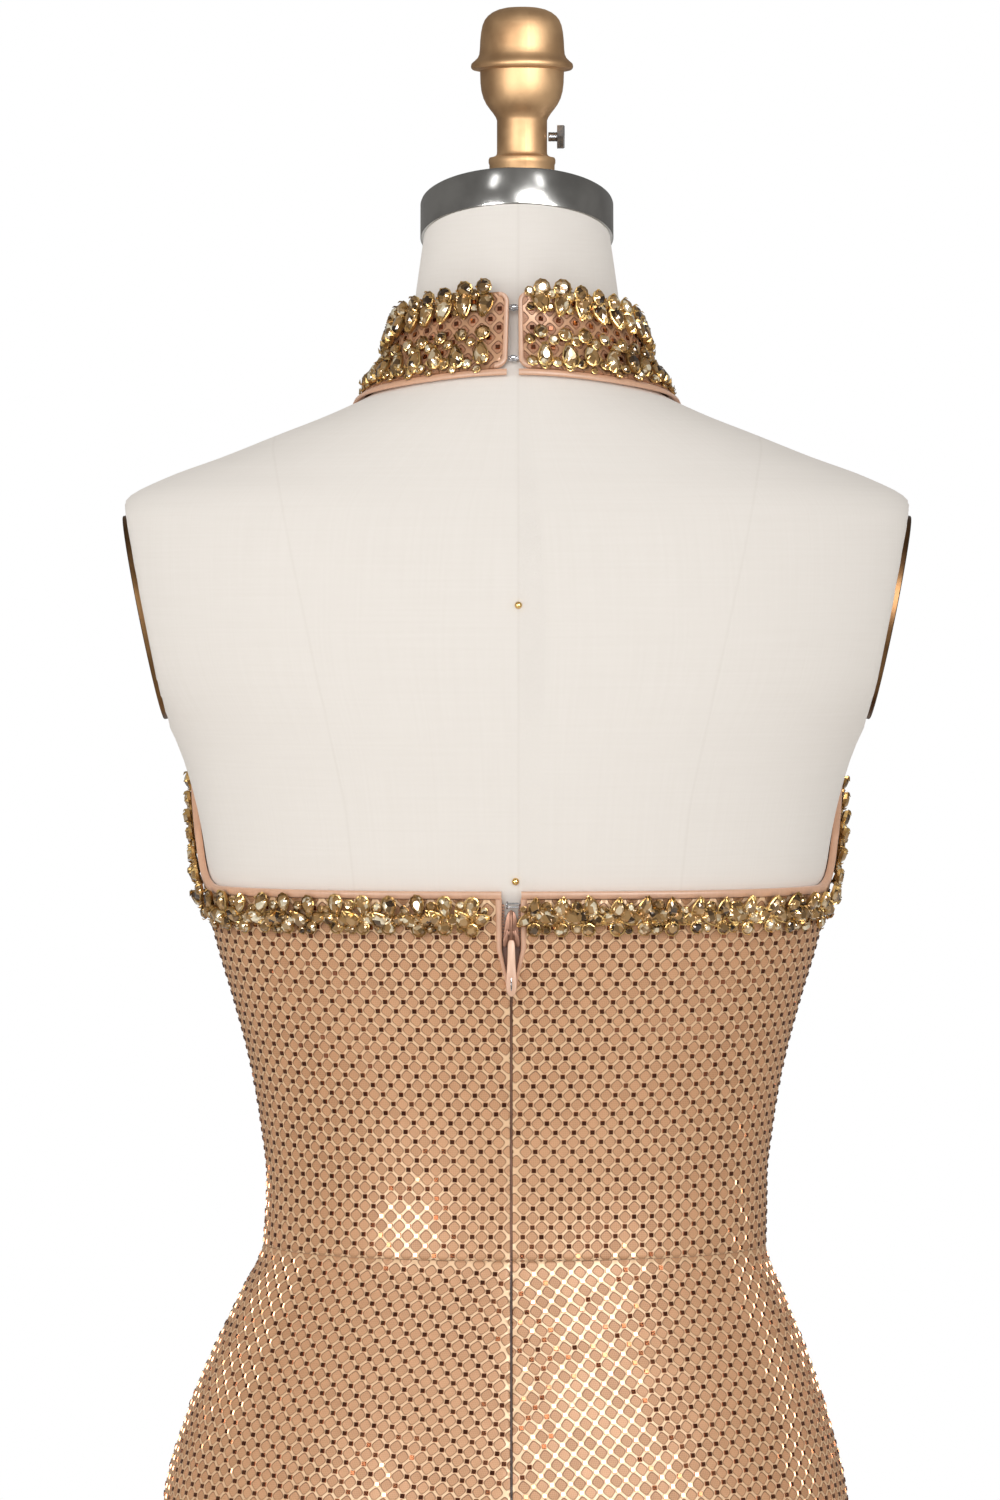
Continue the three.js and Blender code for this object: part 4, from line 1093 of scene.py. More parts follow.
def front_start(height):
    return edge_start(height) if height > side_top else side_start(height)


SKIRT = dict(low=HEM, high=WAIST_SEAM - WAIST_GAP, dip=SKIRT_DIP)
BODICE = dict(low=WAIST_SEAM, proud=waist_proud)
PANELS = {
    "skirt_front": dict(SKIRT, side=1, centre=math.pi, start=side_start, end=seam_angle(270 * DEG, -SEAM)),
    "bodice_front": dict(BODICE, side=1, centre=math.pi, high=400.5, start=front_start,
                         end=lambda height: 2 * math.pi - front_start(height),
                         top=lambda angle: collar_foot(angle) - SEAM),
}
for side_name, side in SIDES:
    back_start = lambda height, side=side: opening_angle(side, height)
    back = dict(side=side, start=back_start, end=side_end, folded=True)
    PANELS[f"skirt_back_{side_name}"] = dict(SKIRT, **back, centre=45 * DEG)
    PANELS[f"bodice_back_{side_name}"] = dict(BODICE, **back, centre=30 * DEG, high=side_top, top=edge_top)

sheets = {}
for seed, (name, panel) in enumerate(PANELS.items(), 1):
    cloth, studs, cut = panel_sheet(name + "_cloth", panel, seed)
    place(cloth, "mesh_cloth", FINISH["mesh"], nodes=[name])
    place(studs, "mesh_cloth", FINISH["stud"])
    sheets[name] = (cloth, studs, cut)


# Satin bindings

# Corners of each strip's section: mm in from the edge, or a share of the fold's width, and mm off the figure
BINDING_PROFILE = (
    (3.5, 2.05), (3.5, 3.7), (3.1, 4.0), (1.3, 4.1), (0.4, 3.9), (0.0, 3.4), (0.1, 1.0), (0.6, 0.5),
)
FOLD_PROFILE = ((0.0, 1.9), (0.0, 3.4), (0.12, 4.0), (0.5, 4.25), (0.85, 4.0), (1.0, 3.5), (1.0, 1.9))


def ribbon(name, rows, nodes=()):
    """A satin strip from its long lines of points, closed at both ends."""
    points = np.stack(rows, axis=1)
    count, around = points.shape[:2]
    faces = grid_faces(around, count - 1, wrap=True).tolist()
    faces += [list(range(around)), list(range((count - 1) * around, count * around))]
    piece = solid(name, [(points.reshape(-1, 3), faces)], smooth_over=60)
    return place(piece, "satin", FINISH["satin"], nodes=nodes)


def edge_binding(side_name, side):
    edge = free_edge(side)
    distance = np.linspace(0.3, edge["length"] - 5.5, 170)
    rows = []
    for width, offset in BINDING_PROFILE:
        angle, height = inside_edge(edge, distance, width)
        rows.append(skin(side * angle, height, np.full(len(distance), offset)))
    name = f"edge_binding_{side_name}"
    return ribbon(name + "_satin", rows, nodes=[name])


# The collar: a conical band of mesh cloth, split at centre back

COLLAR = {"tall_back": 36, "tall_side": 32.5, "corner": 5, "foot_gap": 2.2, "top_gap": 5.6,
          "slit": 4.8, "slit_x": 1.8, "slit_height": 425, "end_strip": 2.2, "binding_end": 137.7 * DEG}
COLLAR_BINDING_PROFILE = ((0.3, 1.3), (0.3, 2.9), (1.3, 3.1), (2.4, 2.8), (2.8, 2.0), (2.5, 1.3))
END_STRIP_PROFILE = ((0.0, 0.2), (0.0, 1.6), (0.15, 2.1), (0.85, 2.1), (1.0, 1.6), (1.0, 0.2))


def slit_angle(side):
    """The angle of the slit's edge on one side, measured towards that side."""
    return float(angle_across(COLLAR["slit"] / 2 + side * COLLAR["slit_x"], COLLAR["slit_height"]))


collar_start, collar_end = slit_angle(1), 2 * math.pi - slit_angle(-1)


def collar_surface(angle, share, offset):
    """Points of the band. share is 0 at its foot and 1 at its top."""
    lift = mix(COLLAR["foot_gap"], COLLAR["top_gap"], share)
    tall = mix(COLLAR["tall_side"], COLLAR["tall_back"], np.cos(angle))
    return skin(angle, collar_foot(angle) + tall * share, lift + np.asarray(offset))


def collar_around():
    """Angles round the band by distance at half height."""
    angles = np.linspace(collar_start, collar_end, 721)
    line = collar_surface(angles, np.full(721, 0.5), np.zeros(721))
    return angles, np.concatenate([[0], np.cumsum(np.linalg.norm(np.diff(line, axis=0), axis=1))])


def collar_band():
    angles, reach = collar_around()
    quarter = (CELL["across"] / 4, CELL["down"] / 4)
    columns = np.arange(-2, int(reach[-1] / quarter[0]) + 4)
    rows = np.arange(-4, int(COLLAR["tall_back"] / quarter[1]) + 5)
    across_flat, down_flat = np.meshgrid(columns * quarter[0], rows * quarter[1], indexing="ij")
    across = np.clip(across_flat, 0, reach[-1])
    from_end = np.minimum(across, reach[-1] - across)
    inset = np.maximum(0, COLLAR["corner"] - from_end)
    cut_off = COLLAR["corner"] - np.sqrt(COLLAR["corner"] ** 2 - inset ** 2)
    down = np.clip(down_flat, cut_off, COLLAR["tall_back"] - cut_off)
    free = (np.abs(across - across_flat) < 0.01) & (np.abs(down - down_flat) < 0.01)
    surface = lambda a, b, offset: collar_surface(a, b, np.asarray(offset) - RELIEF["inside"] + 0.1)
    angle, share = np.interp(across, reach, angles), down / COLLAR["tall_back"]
    cloth, studs, cut = cell_sheet("collar_band", surface, angle, share, across, down, free, seed=40)
    place(cloth, "mesh_cloth", FINISH["collar_mesh_shaded"], nodes=["collar"])
    place(studs, "mesh_cloth", FINISH["stud"])
    return cloth, studs, cut


def collar_satin():
    """The strip under the band, on each side of the slit."""
    strips = []
    for side_name, side in SIDES:
        angle = np.linspace(slit_angle(side), COLLAR["binding_end"], 90)
        rows = [
            skin(side * angle, collar_foot(angle) - drop, np.full(len(angle), offset))
            for drop, offset in COLLAR_BINDING_PROFILE
        ]
        name = f"collar_binding_{side_name}"
        strips.append(ribbon(name + "_satin", rows, nodes=[name]))
    return strips


def collar_ends():
    """The satin strip up each end of the band, round its corners."""
    angles, reach = collar_around()
    corner, top = COLLAR["corner"], COLLAR["tall_back"]
    turns = np.linspace(0, 90 * DEG, 9)
    runs = []
    for radius in (corner, corner - COLLAR["end_strip"]):
        run = [(corner - radius * math.sin(t), corner - radius * math.cos(t)) for t in turns]
        runs.append(np.array(run + [(u, top - v) for u, v in reversed(run)]))
    ends = []
    for side_name, side in SIDES:
        rows = []
        for share, offset in END_STRIP_PROFILE:
            u, v = mix(runs[0], runs[1], share).T
            along = u - 0.05 if side > 0 else reach[-1] + 0.05 - u
            rows.append(collar_surface(np.interp(along, reach, angles), v / top, np.full(len(u), offset)))
        ends.append(ribbon(f"collar_end_{side_name}_satin", rows))
    return ends


# Crystals

def outline_pear(sides):
    """A drop of length 1 whose narrow end is at +Y."""
    turns = [i * 2 * math.pi / sides for i in range(sides)]
    return [(-0.4 * math.sin(t) * max(math.sin(t / 2), 0.05) ** 0.8, 0.5 * math.cos(t)) for t in turns]


def stone_shape(name, outline, depth):
    """A cut stone: girdle, crown in two tiers of facets, and table."""
    count = len(outline)
    neighbours = zip(outline, outline[1:] + outline[:1])
    half_step = [((x + next_x) / 2, (y + next_y) / 2) for (x, y), (next_x, next_y) in neighbours]
    rings = [(outline, 0.9, 0.0), (outline, 1.0, 0.38), (half_step, 0.86, 0.7), (outline, 0.5, 1.0)]
    points = [(x * scale, y * scale, depth * level) for ring, scale, level in rings for x, y in ring]
    faces = []
    for i in range(count):
        j = (i + 1) % count
        girdle, crown, table = count + i, 2 * count + i, 3 * count + i
        next_girdle, next_crown, next_table = count + j, 2 * count + j, 3 * count + j
        faces.append((i, j, next_girdle, girdle))
        faces += [(girdle, next_girdle, crown), (next_girdle, next_crown, crown)]
        faces += [(crown, next_table, table), (crown, next_crown, next_table)]
    faces.append(tuple(range(3 * count, 4 * count)))
    return shape_mesh(name, points, faces)


# Corners of one claw: share of the outline's reach, distance to the side, share of the stone's depth
CLAW = ((1.16, 0.09, 0.4), (1.16, -0.09, 0.4), (0.84, 0.03, 1.02), (0.84, -0.03, 1.02), (1.2, 0.0, 0.75))
CLAW_FACES = ((1, 0, 4), (0, 2, 4), (2, 3, 4), (3, 1, 4))


def cup_shape(name, outline, depth, claws):
    """A gold cup with claws bent over the stone."""
    count = len(outline)
    rings = [(1.02, 0.0), (1.16, 0.42), (1.02, 0.5)]
    points = [(x * scale, y * scale, depth * level) for scale, level in rings for x, y in outline]
    faces = []
    for low in (0, count):
        high = low + count
        for i in range(count):
            j = (i + 1) % count
            faces.append((low + i, low + j, high + j, high + i))
    for i in claws:
        x, y = outline[i]
        length = math.hypot(x, y)
        base = len(points)
        for reach, width, level in CLAW:
            points.append((x * reach - y / length * width, y * reach + x / length * width, depth * level))
        faces += [tuple(base + k for k in face) for face in CLAW_FACES]
    return shape_mesh(name, points, faces)


ROUND, PEAR = circle(0.5, 10), outline_pear(12)
STONE_SHAPES = {
    "pear": (stone_shape("pear_stone", PEAR, 0.36), cup_shape("pear_cup", PEAR, 0.36, (1, 4, 6, 8, 11))),
    "round": (stone_shape("round_stone", ROUND, 0.45), cup_shape("round_cup", ROUND, 0.45, (0, 3, 5, 8))),
}


def set_stones(name, rows, surface, seed):
    """Stones in their cups. Each row is (kind, u, v, heading, size, lean, lift).

    heading is the turn of the stone's narrow end from the surface's V direction. lean tips that end inwards.
    """
    pieces = []
    for kind in ("pear", "round"):
        chosen = [row for row in rows if row[0] == kind]
        columns = zip(*[row[1:] for row in chosen])
        u, v, heading, size, lean, lift = (np.array(column, float) for column in columns)
        centre = surface(u, v, lift)
        normal = unit(surface(u, v, lift + 1) - centre)
        run_u = unit(surface(u + 0.5, v, lift) - surface(u - 0.5, v, lift))
        run_v = unit(np.cross(normal, run_u))
        narrow = run_v * np.cos(heading)[:, None] + run_u * np.sin(heading)[:, None]
        axis = np.cross(narrow, normal)
        tipped = normal * np.cos(lean)[:, None] - narrow * np.sin(lean)[:, None]
        turns = euler_turns(axis, tipped)
        for shape, finish, label in zip(STONE_SHAPES[kind], ("crystal", "setting"), ("stones", "cups")):
            piece = scatter(f"{name}_{kind}_{label}", shape, centre, turns, FINISH[finish],
                            size=size, tilt=5 * DEG, seed=seed)
            pieces.append(place(piece, "crystal", None))
    return pieces


# The left trim starts later, beside its plain end
TRIM = {"pitch": 12.8, "start": 6.5, "end": 9.0, "plain_left": 7.5}
COLLAR_STONES = {"pitch": 10.4, "start": 6.4, "end": 6.0, "clear": 3.2}
# Stones of one flower: kind, along the edge, in from the edge, turn of the narrow end, size, lean, lift
TRIM_FLOWER = (
    ("pear", 0.0, 6.6, 0.0, 9.8, 0.1, 5.6),
    ("pear", 5.4, 12.2, math.pi - 0.85, 10.4, 0.22, 5.8),
    ("pear", -4.6, 12.8, math.pi + 1.2, 8.6, 0.2, 5.3),
    ("round", 0.2, 17.2, 0.0, 6.4, 0.0, 5.4),
    ("round", 6.2, 6.6, 0.0, 4.2, 0.0, 5.2),
    ("round", 5.6, 18.0, 0.0, 3.8, 0.0, 4.8),
    ("round", -0.4, 12.4, 0.0, 3.6, 0.0, 5.8),
    ("round", -5.6, 8.6, 0.0, 3.2, 0.0, 5.0),
)
# Stones of one column of the collar: kind, along, up, turn of the narrow end, size, lean, lift
COLLAR_COLUMN = (
    ("round", 0.0, 38.2, 0.0, 7.4, 0.0, 3.2),
    ("pear", 0.3, 29.6, 0.0, 12.0, 0.12, 3.4),
    ("round", 5.6, 35.6, 0.0, 4.4, 0.0, 3.0),
    ("round", 5.4, 28.2, 0.0, 3.6, 0.0, 2.4),
    ("round", 0.2, 15.6, 0.0, 6.4, 0.0, 3.0),
    ("pear", -0.2, 6.0, math.pi, 11.2, 0.12, 3.0),
    ("round", 5.3, 12.2, 0.0, 5.0, 0.0, 2.6),
    ("round", 5.2, 2.6, 0.0, 5.0, 0.0, 2.4),
    ("round", 0.2, 0.2, 0.0, 3.6, 0.0, 1.8),
)


def strewn(pattern, middles, chance, mirrored=False):
    """The stones of a pattern at each place along, each a little off. mirrored turns every third one over."""
    rows = []
    for i, middle in enumerate(middles):
        over = -1 if mirrored and i % 3 == 2 else 1
        for kind, along, across, heading, size, lean, lift in pattern:
            off = chance.uniform(-1, 1, 6)
            u = middle + over * along
            if kind == "round":
                row = (u + 0.7 * off[0], across + 0.7 * off[1], 0, size + 0.5 * off[2],
                       0.12 * off[3], lift + 0.3 * off[4])
            else:
                row = (u + 0.5 * off[0], across + 0.6 * off[1], over * heading + 0.3 * off[2],
                       size + 0.6 * off[3], lean + 0.12 * off[4], lift + 0.3 * off[5])
            rows.append((kind, *row))
    return rows


def trim_stones(side_name, side, chance):
    """Flowers of pear stones along the free edge, with rounds between them."""
    edge = free_edge(side)
    last = edge["length"] - TRIM["end"]
    first = TRIM["start"] + (TRIM["plain_left"] if side > 0 else 0)
    middles = np.linspace(first, last, int((last - first) / TRIM["pitch"]) + 1)

    def surface(u, v, lift):
        angle, height = inside_edge(edge, u, v, reach=14)
        return skin(side * angle, height, lift)

    name = f"beaded_trim_{side_name}"
    pieces = set_stones(name, strewn(TRIM_FLOWER, middles, chance, mirrored=True), surface, 60 + side)
    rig.replaces(pieces[0], name)
    return pieces


def collar_stones(chance):
    angles, reach = collar_around()
    start, end, clear = (COLLAR_STONES[key] for key in ("start", "end", "clear"))
    middles = np.arange(start, reach[-1] - end + 0.5, COLLAR_STONES["pitch"])
    middles += (reach[-1] - end - middles[-1]) / 2

    def surface(u, v, lift):
        return collar_surface(np.interp(u, reach, angles), v / COLLAR["tall_back"], lift)

    rows = [row for row in strewn(COLLAR_COLUMN, middles, chance) if clear < row[1] < reach[-1] - clear]
    return set_stones("collar", rows, surface, 80)


# Fastenings at the centre back

def on_back(x, height, offset):
    return skin(angle_across(x, height), height, offset)


def chain_gap(height):
    """Half the space between the tape edges, which meet below the slider."""
    return np.interp(height, (149, 153), (0.4, 4.4))


def zip_tape():
    """Tape edges along the opening, and the teeth on them."""
    heights = np.linspace(-146, 170, 200)
    rows = []
    for side in (1, -1):
        edge_x = CENTRE_BACK_X + side * (chain_gap(heights) + 0.25)
        path = on_back(edge_x, heights, np.full(200, 1.5))
        normals = outward(angle_across(edge_x, heights), heights)
        profile = [(side * a, b) for a, b in ((-0.9, -0.3), (-0.9, 0.2), (4.6, 0.3), (4.6, -0.3))]
        rows.append(swept(path, profile, normals=normals))
    tape = solid("zip_tape", rows)
    place(tape, "zip_tape", FINISH["tape"], nodes=["zip_chain"])
    heights = np.arange(-145, 169, 1.5)
    teeth, turns = [], []
    for side in (1, -1):
        own = heights + (0.75 if side > 0 else 0)
        x = CENTRE_BACK_X + side * (chain_gap(own) - 0.15)
        teeth.append(on_back(x, own, np.full(len(own), 1.9)))
        normal = outward(angle_across(x, own), own)
        turns.append(euler_turns(np.tile([side * 1.0, 0, 0], (len(own), 1)), normal))
    box = [(x, y, z) for z in (-0.5, 0.5) for y in (-0.45, 0.45) for x in (-1.0, 0.9)]
    faces = [(0, 2, 3, 1), (4, 5, 7, 6), (0, 1, 5, 4), (2, 6, 7, 3), (0, 4, 6, 2), (1, 3, 7, 5)]
    shape = shape_mesh("tooth_shape", box, faces)
    places, turns = np.concatenate(teeth), np.concatenate(turns)
    chain = scatter("zip_teeth", shape, places, turns, FINISH["slider"], seed=9)
    place(chain, "zip_tape", None)


def opening_folds():
    """The folded edges of the back panels beside the slider."""
    heights = np.linspace(128, 172.5, 60)
    folds = []
    wide = np.interp(heights, (128, 150, 172.5), (0.9, 2.6, 3.2))
    for side_name, side in SIDES:
        rows = []
        for share, offset in FOLD_PROFILE:
            x = CENTRE_BACK_X + side * (half_gap(heights) + 0.02 + share * wide)
            rows.append(on_back(x, heights, np.full(60, offset)))
        folds.append(ribbon(f"opening_fold_{side_name}", rows))
    return folds


def slab(outline, depth, crown=0.0, rim=0.35):
    """A plate with a rounded front from an outline of (x, z) rows. Its back lies at y = 0."""
    outline = np.asarray(outline, float)
    middle = outline.mean(axis=0)
    toward = middle - outline
    distance = np.linalg.norm(toward, axis=1, keepdims=True)
    rings = []
    for inset, y in ((0.0, 0.0), (0.0, depth - rim), (rim * 0.3, depth - rim * 0.3), (rim, depth)):
        ring = outline + toward * inset / distance
        rings.append(np.column_stack([ring, np.full(len(outline), y)]))
    points = np.concatenate([[(*middle, 0.0)]] + rings + [[(*middle, depth + crown)]])[:, [0, 2, 1]]
    count = len(outline)
    faces = [(0, 1 + i, 1 + (i + 1) % count) for i in range(count)]
    faces += [tuple(int(k) + 1 for k in face) for face in grid_faces(count, 3, wrap=True)]
    last = 1 + 3 * count
    faces += [(last + i, last + (i + 1) % count, last + count) for i in range(count)]
    return points, faces


def smooth_outline(rows):
    """A closed rounded outline through corner rows."""
    rows = np.asarray(rows, float)
    for _ in range(3):
        ahead = np.roll(rows, -1, axis=0)
        rows = np.stack([rows * 0.75 + ahead * 0.25, rows * 0.25 + ahead * 0.75], axis=1).reshape(-1, 2)
    return rows


def seated(points, x, height, offset):
    """Points of a small piece, moved from its own plane to the back of the figure."""
    low, high = on_back(x, height - 4, offset), on_back(x, height + 4, offset)
    slope = -math.atan2(high[1] - low[1], high[2] - low[2])
    return tilted(np.asarray(points, float), "x", slope) + (low + high) / 2


def zip_slider():
    outline = [(-3.7, -8.5), (3.7, -8.5), (3.7, -3.2), (2.3, 8.5), (-2.3, 8.5), (-3.7, -3.2)]
    body = slab(smooth_outline(outline), 1.9)
    outline = [(2.2, -8.6), (4.1, -8.6), (3.9, -4.4), (1.9, 0.4), (1.0, -1.4)]
    wings = [slab(smooth_outline([(side * x, z) for x, z in outline]), 2.9) for side in (1, -1)]
    bridge = slab(smooth_outline([(-1.7, -3.4), (1.7, -3.4), (1.5, -0.6), (-1.5, -0.6)]), 3.0)
    bail_line = [(1.6, 8.2), (3.0, 7.4), (3.9, 4.8), (4.1, 1.0), (3.8, -3.4), (3.0, -5.4), (1.8, -6.0)]
    bail_path = np.array([(0, y, z) for y, z in bail_line])
    bail = swept(bail_path, [(a * 1.7, b) for a, b in circle(0.72, 10)])
    parts = [body, *wings, bridge, bail]
    parts = [(seated(points, CENTRE_BACK_X, 158.5, 2.1), faces) for points, faces in parts]
    piece = solid("slider_body", parts)
    return place(piece, "enamel", FINISH["slider"], nodes=["zip_slider"])


def zip_pull():
    """A drop-shaped tab with a slit near its lower end."""
    low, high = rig.box("zip_pull")
    middle_x, top, back = (low[0] + high[0]) / 2 / MM, high[2] / MM, low[1] / MM
    right = [(1.2, 0.2), (1.7, -2), (1.8, -7), (2.0, -12), (2.6, -19.5), (2.5, -24), (1.2, -26.9)]
    outline = smooth_outline(right + [(-x, z) for x, z in reversed(right)])
    points, faces = slab(outline, 1.6, crown=0.15, rim=0.6)
    slit = slab(smooth_outline([(-0.42, -24.2), (0.42, -24.2), (0.42, -17.6), (-0.42, -17.6)]), 0.4)
    at = np.array([middle_x, back, top - 0.2])
    tab = solid("pull_tab", [(points + at, faces)])
    place(tab, "enamel", FINISH["enamel"], body="pull", nodes=["zip_pull"])
    groove = solid("pull_slit", [(slit[0] + at + (0, 1.35, 0), slit[1])])
    place(groove, "enamel", FINISH["nickel"], body="pull")
    return tab


def wire(path, radius, sides=8):
    return swept(np.array(path, float), circle(radius, sides))


def back_hook():
    """A flat hook on one side of the opening, in a bar on the other."""
    bend = [(-3.6, 0.6, 0.9), (1.4, 0.7, 0.9), (2.2, 1.0, 0.6), (2.3, 1.2, 0), (2.2, 1.0, -0.6),
            (1.4, 0.7, -0.9), (-3.6, 0.6, -0.9)]
    bar = [(2.0, 0.4, 1.6), (2.0, 0.9, 1.2), (2.0, 0.9, -1.2), (2.0, 0.4, -1.6)]
    parts = [wire(bend, 0.42), wire(bar, 0.4)]
    parts = [(seated(points, CENTRE_BACK_X, 169.5, 2.2), faces) for points, faces in parts]
    piece = solid("back_hook_wire", parts)
    return place(piece, "hook_metal", FINISH["nickel"], nodes=["back_hook"])


def collar_hooks():
    for name in ("collar_hook_upper", "collar_hook_lower"):
        low, high = (np.array(corner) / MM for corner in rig.box(name))
        middle = (low + high) / 2
        turns = np.arange(12) * math.pi / 6
        loop = [(2.4 * math.cos(t), 0.3 * math.sin(t), 1.25 * math.sin(t)) for t in turns]
        eye = swept(np.array(loop) + middle, circle(0.36, 8), closed=True)
        bend = [(-2.6, 0.2, 0.5), (0.4, 0.8, 0.5), (1.3, 1.0, 0.1), (0.4, 0.8, -0.4), (-2.6, 0.2, -0.4)]
        hook = wire(np.array(bend) + middle, 0.4)
        piece = solid(name + "_wire", [eye, hook])
        place(piece, "hook_metal", FINISH["nickel"], nodes=[name])


# The dress form

def form_body():
    columns = 150
    # the rows lie closer together at the shoulders
    heights = np.concatenate([
        np.linspace(FORM_BOTTOM, 340, 76)[:-1],
        np.linspace(340, 440, 41)[:-1],
        np.linspace(440, FORM_TOP, 12),
    ])
    angle, height = np.meshgrid(np.arange(columns) * 2 * math.pi / columns, heights)
    points = figure_point(angle, height)
    inset = smooth_curve((-262, -185, -127, 491), (22, 4, 0, 0))(height)
    shrink = 1 - np.maximum(0, inset) / np.hypot(points[..., 0], points[..., 1])
    points[..., :2] *= shrink[..., None]
    limit = ARM_PLANE["across"] + (height - ARM_PLANE["height"]) * ARM_PLANE["lean"]
    points[..., 0] = np.where(height > 230, np.clip(points[..., 0], -limit, limit), points[..., 0])
    faces = grid_faces(columns, len(heights) - 1, wrap=True).tolist()
    faces += [list(range(columns))[::-1], list(range((len(heights) - 1) * columns, len(heights) * columns))]
    flat = points.reshape(-1, 3)
    around = np.degrees(angle).ravel() * 2.6
    princess = np.abs(flat[:, 0]) - np.interp(height.ravel(), (60, 216, 383), (66, 82, 118))
    side_seam = np.where((np.abs(flat[:, 0]) > 60) & (height.ravel() < 330), flat[:, 1] + 4, 60)
    nearest = np.where(np.abs(princess) < np.abs(side_seam), princess, side_seam)
    seams = {"seam": np.where(np.abs(flat[:, 0] + 0.5) < np.abs(nearest), flat[:, 0] + 0.5, nearest)}
    uv = np.column_stack([around, flat[:, 2]])
    piece = solid("linen_body", [(flat, faces)], smooth_over=50, uv=uv, attributes=seams)
    return place(piece, "linen", FINISH["linen"], nodes=["form_body"])


ARM_PLATE = {"height": 306, "forward": -5, "tall": 51, "deep": 37, "thick": 2.4, "rim": 1.6}


def arm_places(side, points):
    """Moves points of (up, across, out) onto the plane of an armhole."""
    lean = math.atan(ARM_PLANE["lean"])
    out = np.array([side * math.cos(lean), 0, -math.sin(lean)])
    up = np.array([side * math.sin(lean), 0, math.cos(lean)])
    across = np.cross(out, up)
    x = ARM_PLANE["across"] + (ARM_PLATE["height"] - ARM_PLANE["height"]) * ARM_PLANE["lean"]
    seat = np.array([side * x, ARM_PLATE["forward"], WAIST_Z + ARM_PLATE["height"]]) + out * SEAM
    return seat + points[:, :1] * up + points[:, 1:2] * across + points[:, 2:] * out


def arm_plates():
    tall, deep, thick, rim = (ARM_PLATE[key] for key in ("tall", "deep", "thick", "rim"))
    for side_name, side in SIDES:
        inner = (tall - rim - SEAM, deep - rim - SEAM)
        profile = [(0, 0), (1, 0), (1, thick - 0.5), (0.985, thick), (0.8, thick + 0.25), (0, thick + 0.5)]
        points, faces = turned(profile, stretch=inner)
        uv = points[:, :2]
        far = np.full(len(points), 60.0)
        plate = solid(f"arm_plate_{side_name}_linen", [(arm_places(side, points), faces)], uv=uv,
                      attributes={"seam": far})
        place(plate, "linen", FINISH["linen"], nodes=[f"arm_plate_{side_name}"])
        turns = np.arange(128) * 2 * math.pi / 128
        up, across = (tall - rim / 2) * np.cos(turns), (deep - rim / 2) * np.sin(turns)
        path = np.column_stack([up, across, np.full(128, 1.4)])
        band = [(-0.8, -1.4), (-0.8, 1.0), (-0.45, 1.4), (0.45, 1.4), (0.8, 1.0), (0.8, -1.4)]
        points, faces = swept(path, band, closed=True, normals=np.tile([0.0, 0.0, 1.0], (128, 1)))
        ring = solid(f"arm_rim_{side_name}_brass", [(arm_places(side, points), faces)])
        place(ring, "brass", FINISH["bronze"], nodes=[f"arm_rim_{side_name}"])


NECK = {"half": 47.4, "deep": 52.2, "tall": 19, "tilt": math.atan(0.29)}


def neck_plate():
    half, tall = NECK["half"], NECK["tall"]
    profile = [(0, 0), (half - 0.9, 0), (half - 0.25, 0.3), (half, 0.9), (half, tall - 1.3),
               (half - 0.3, tall - 0.5), (half - 1.0, tall), (half - 4, tall), (0, tall)]
    points, faces = turned(profile, segments=144, stretch=(1, NECK["deep"] / half))
    points = tilted(points, "x", NECK["tilt"]) + (0, LEAN_LINE_Y, WAIST_Z + FORM_TOP + SEAM)
    piece = solid("neck_plate_steel", [(points, faces)], smooth_over=30)
    return place(piece, "steel", FINISH["steel"], nodes=["neck_plate"])


FINIAL = {"x": -2.5, "y": -3, "bottom": 1572.3}
# Radius and height, from the foot to the tip
FINIAL_PROFILE = [
    (0, 0), (16, 0), (16, 25), (16.4, 26), (16.4, 27.6), (16.0, 28.6), (14.2, 29.0), (12.9, 29.6),
    (12.4, 30.4), (12.3, 31.6), (12.3, 46.8), (12.9, 48.4), (14.2, 50.4), (15.8, 52.4), (17.5, 54.8),
    (18.9, 57.6), (19.9, 61), (20.4, 65), (20.6, 71), (21.2, 71.5), (24.3, 71.8), (24.9, 72.4),
    (25.1, 73.4), (24.8, 74.6), (23.2, 76), (21.8, 77.4), (21.0, 79.2), (20.7, 82), (20.5, 86),
    (20.1, 90), (19.4, 93.4), (18.3, 96), (16.8, 97.9), (14.6, 99.6), (11.8, 100.9), (8.6, 101.7),
    (5, 102), (0, 102.1),
]


def plate_top(y):
    top = WAIST_Z + FORM_TOP + SEAM + NECK["tall"] / math.cos(NECK["tilt"])
    return top + math.tan(NECK["tilt"]) * (y - LEAN_LINE_Y) + SEAM / math.cos(NECK["tilt"])


def finial():
    segments = 120
    points, faces = turned(FINIAL_PROFILE, segments=segments)
    turn = np.arctan2(points[:, 1], points[:, 0])
    radius = np.hypot(points[:, 0], points[:, 1])
    ridge = 0.22 * np.exp(-((turn - 98 * DEG) / (1.6 * DEG)) ** 2) * (radius > 2)
    hole = np.exp(-((turn - 62 * DEG) * 12.3 / 1.9) ** 2 - ((points[:, 2] - 39) / 1.9) ** 2)
    swell = ridge - 2.2 * hole
    points[:, :2] *= (1 + swell / np.maximum(radius, 1))[:, None]
    foot = points[:, 2] < 12
    points[foot, 2] = plate_top(points[foot, 1] + FINIAL["y"]) - FINIAL["bottom"]
    points += (FINIAL["x"], FINIAL["y"], FINIAL["bottom"])
    piece = solid("finial_cast", [(points, faces)], smooth_over=35)
    return place(piece, "cast_gold", FINISH["gold"], nodes=["finial"])


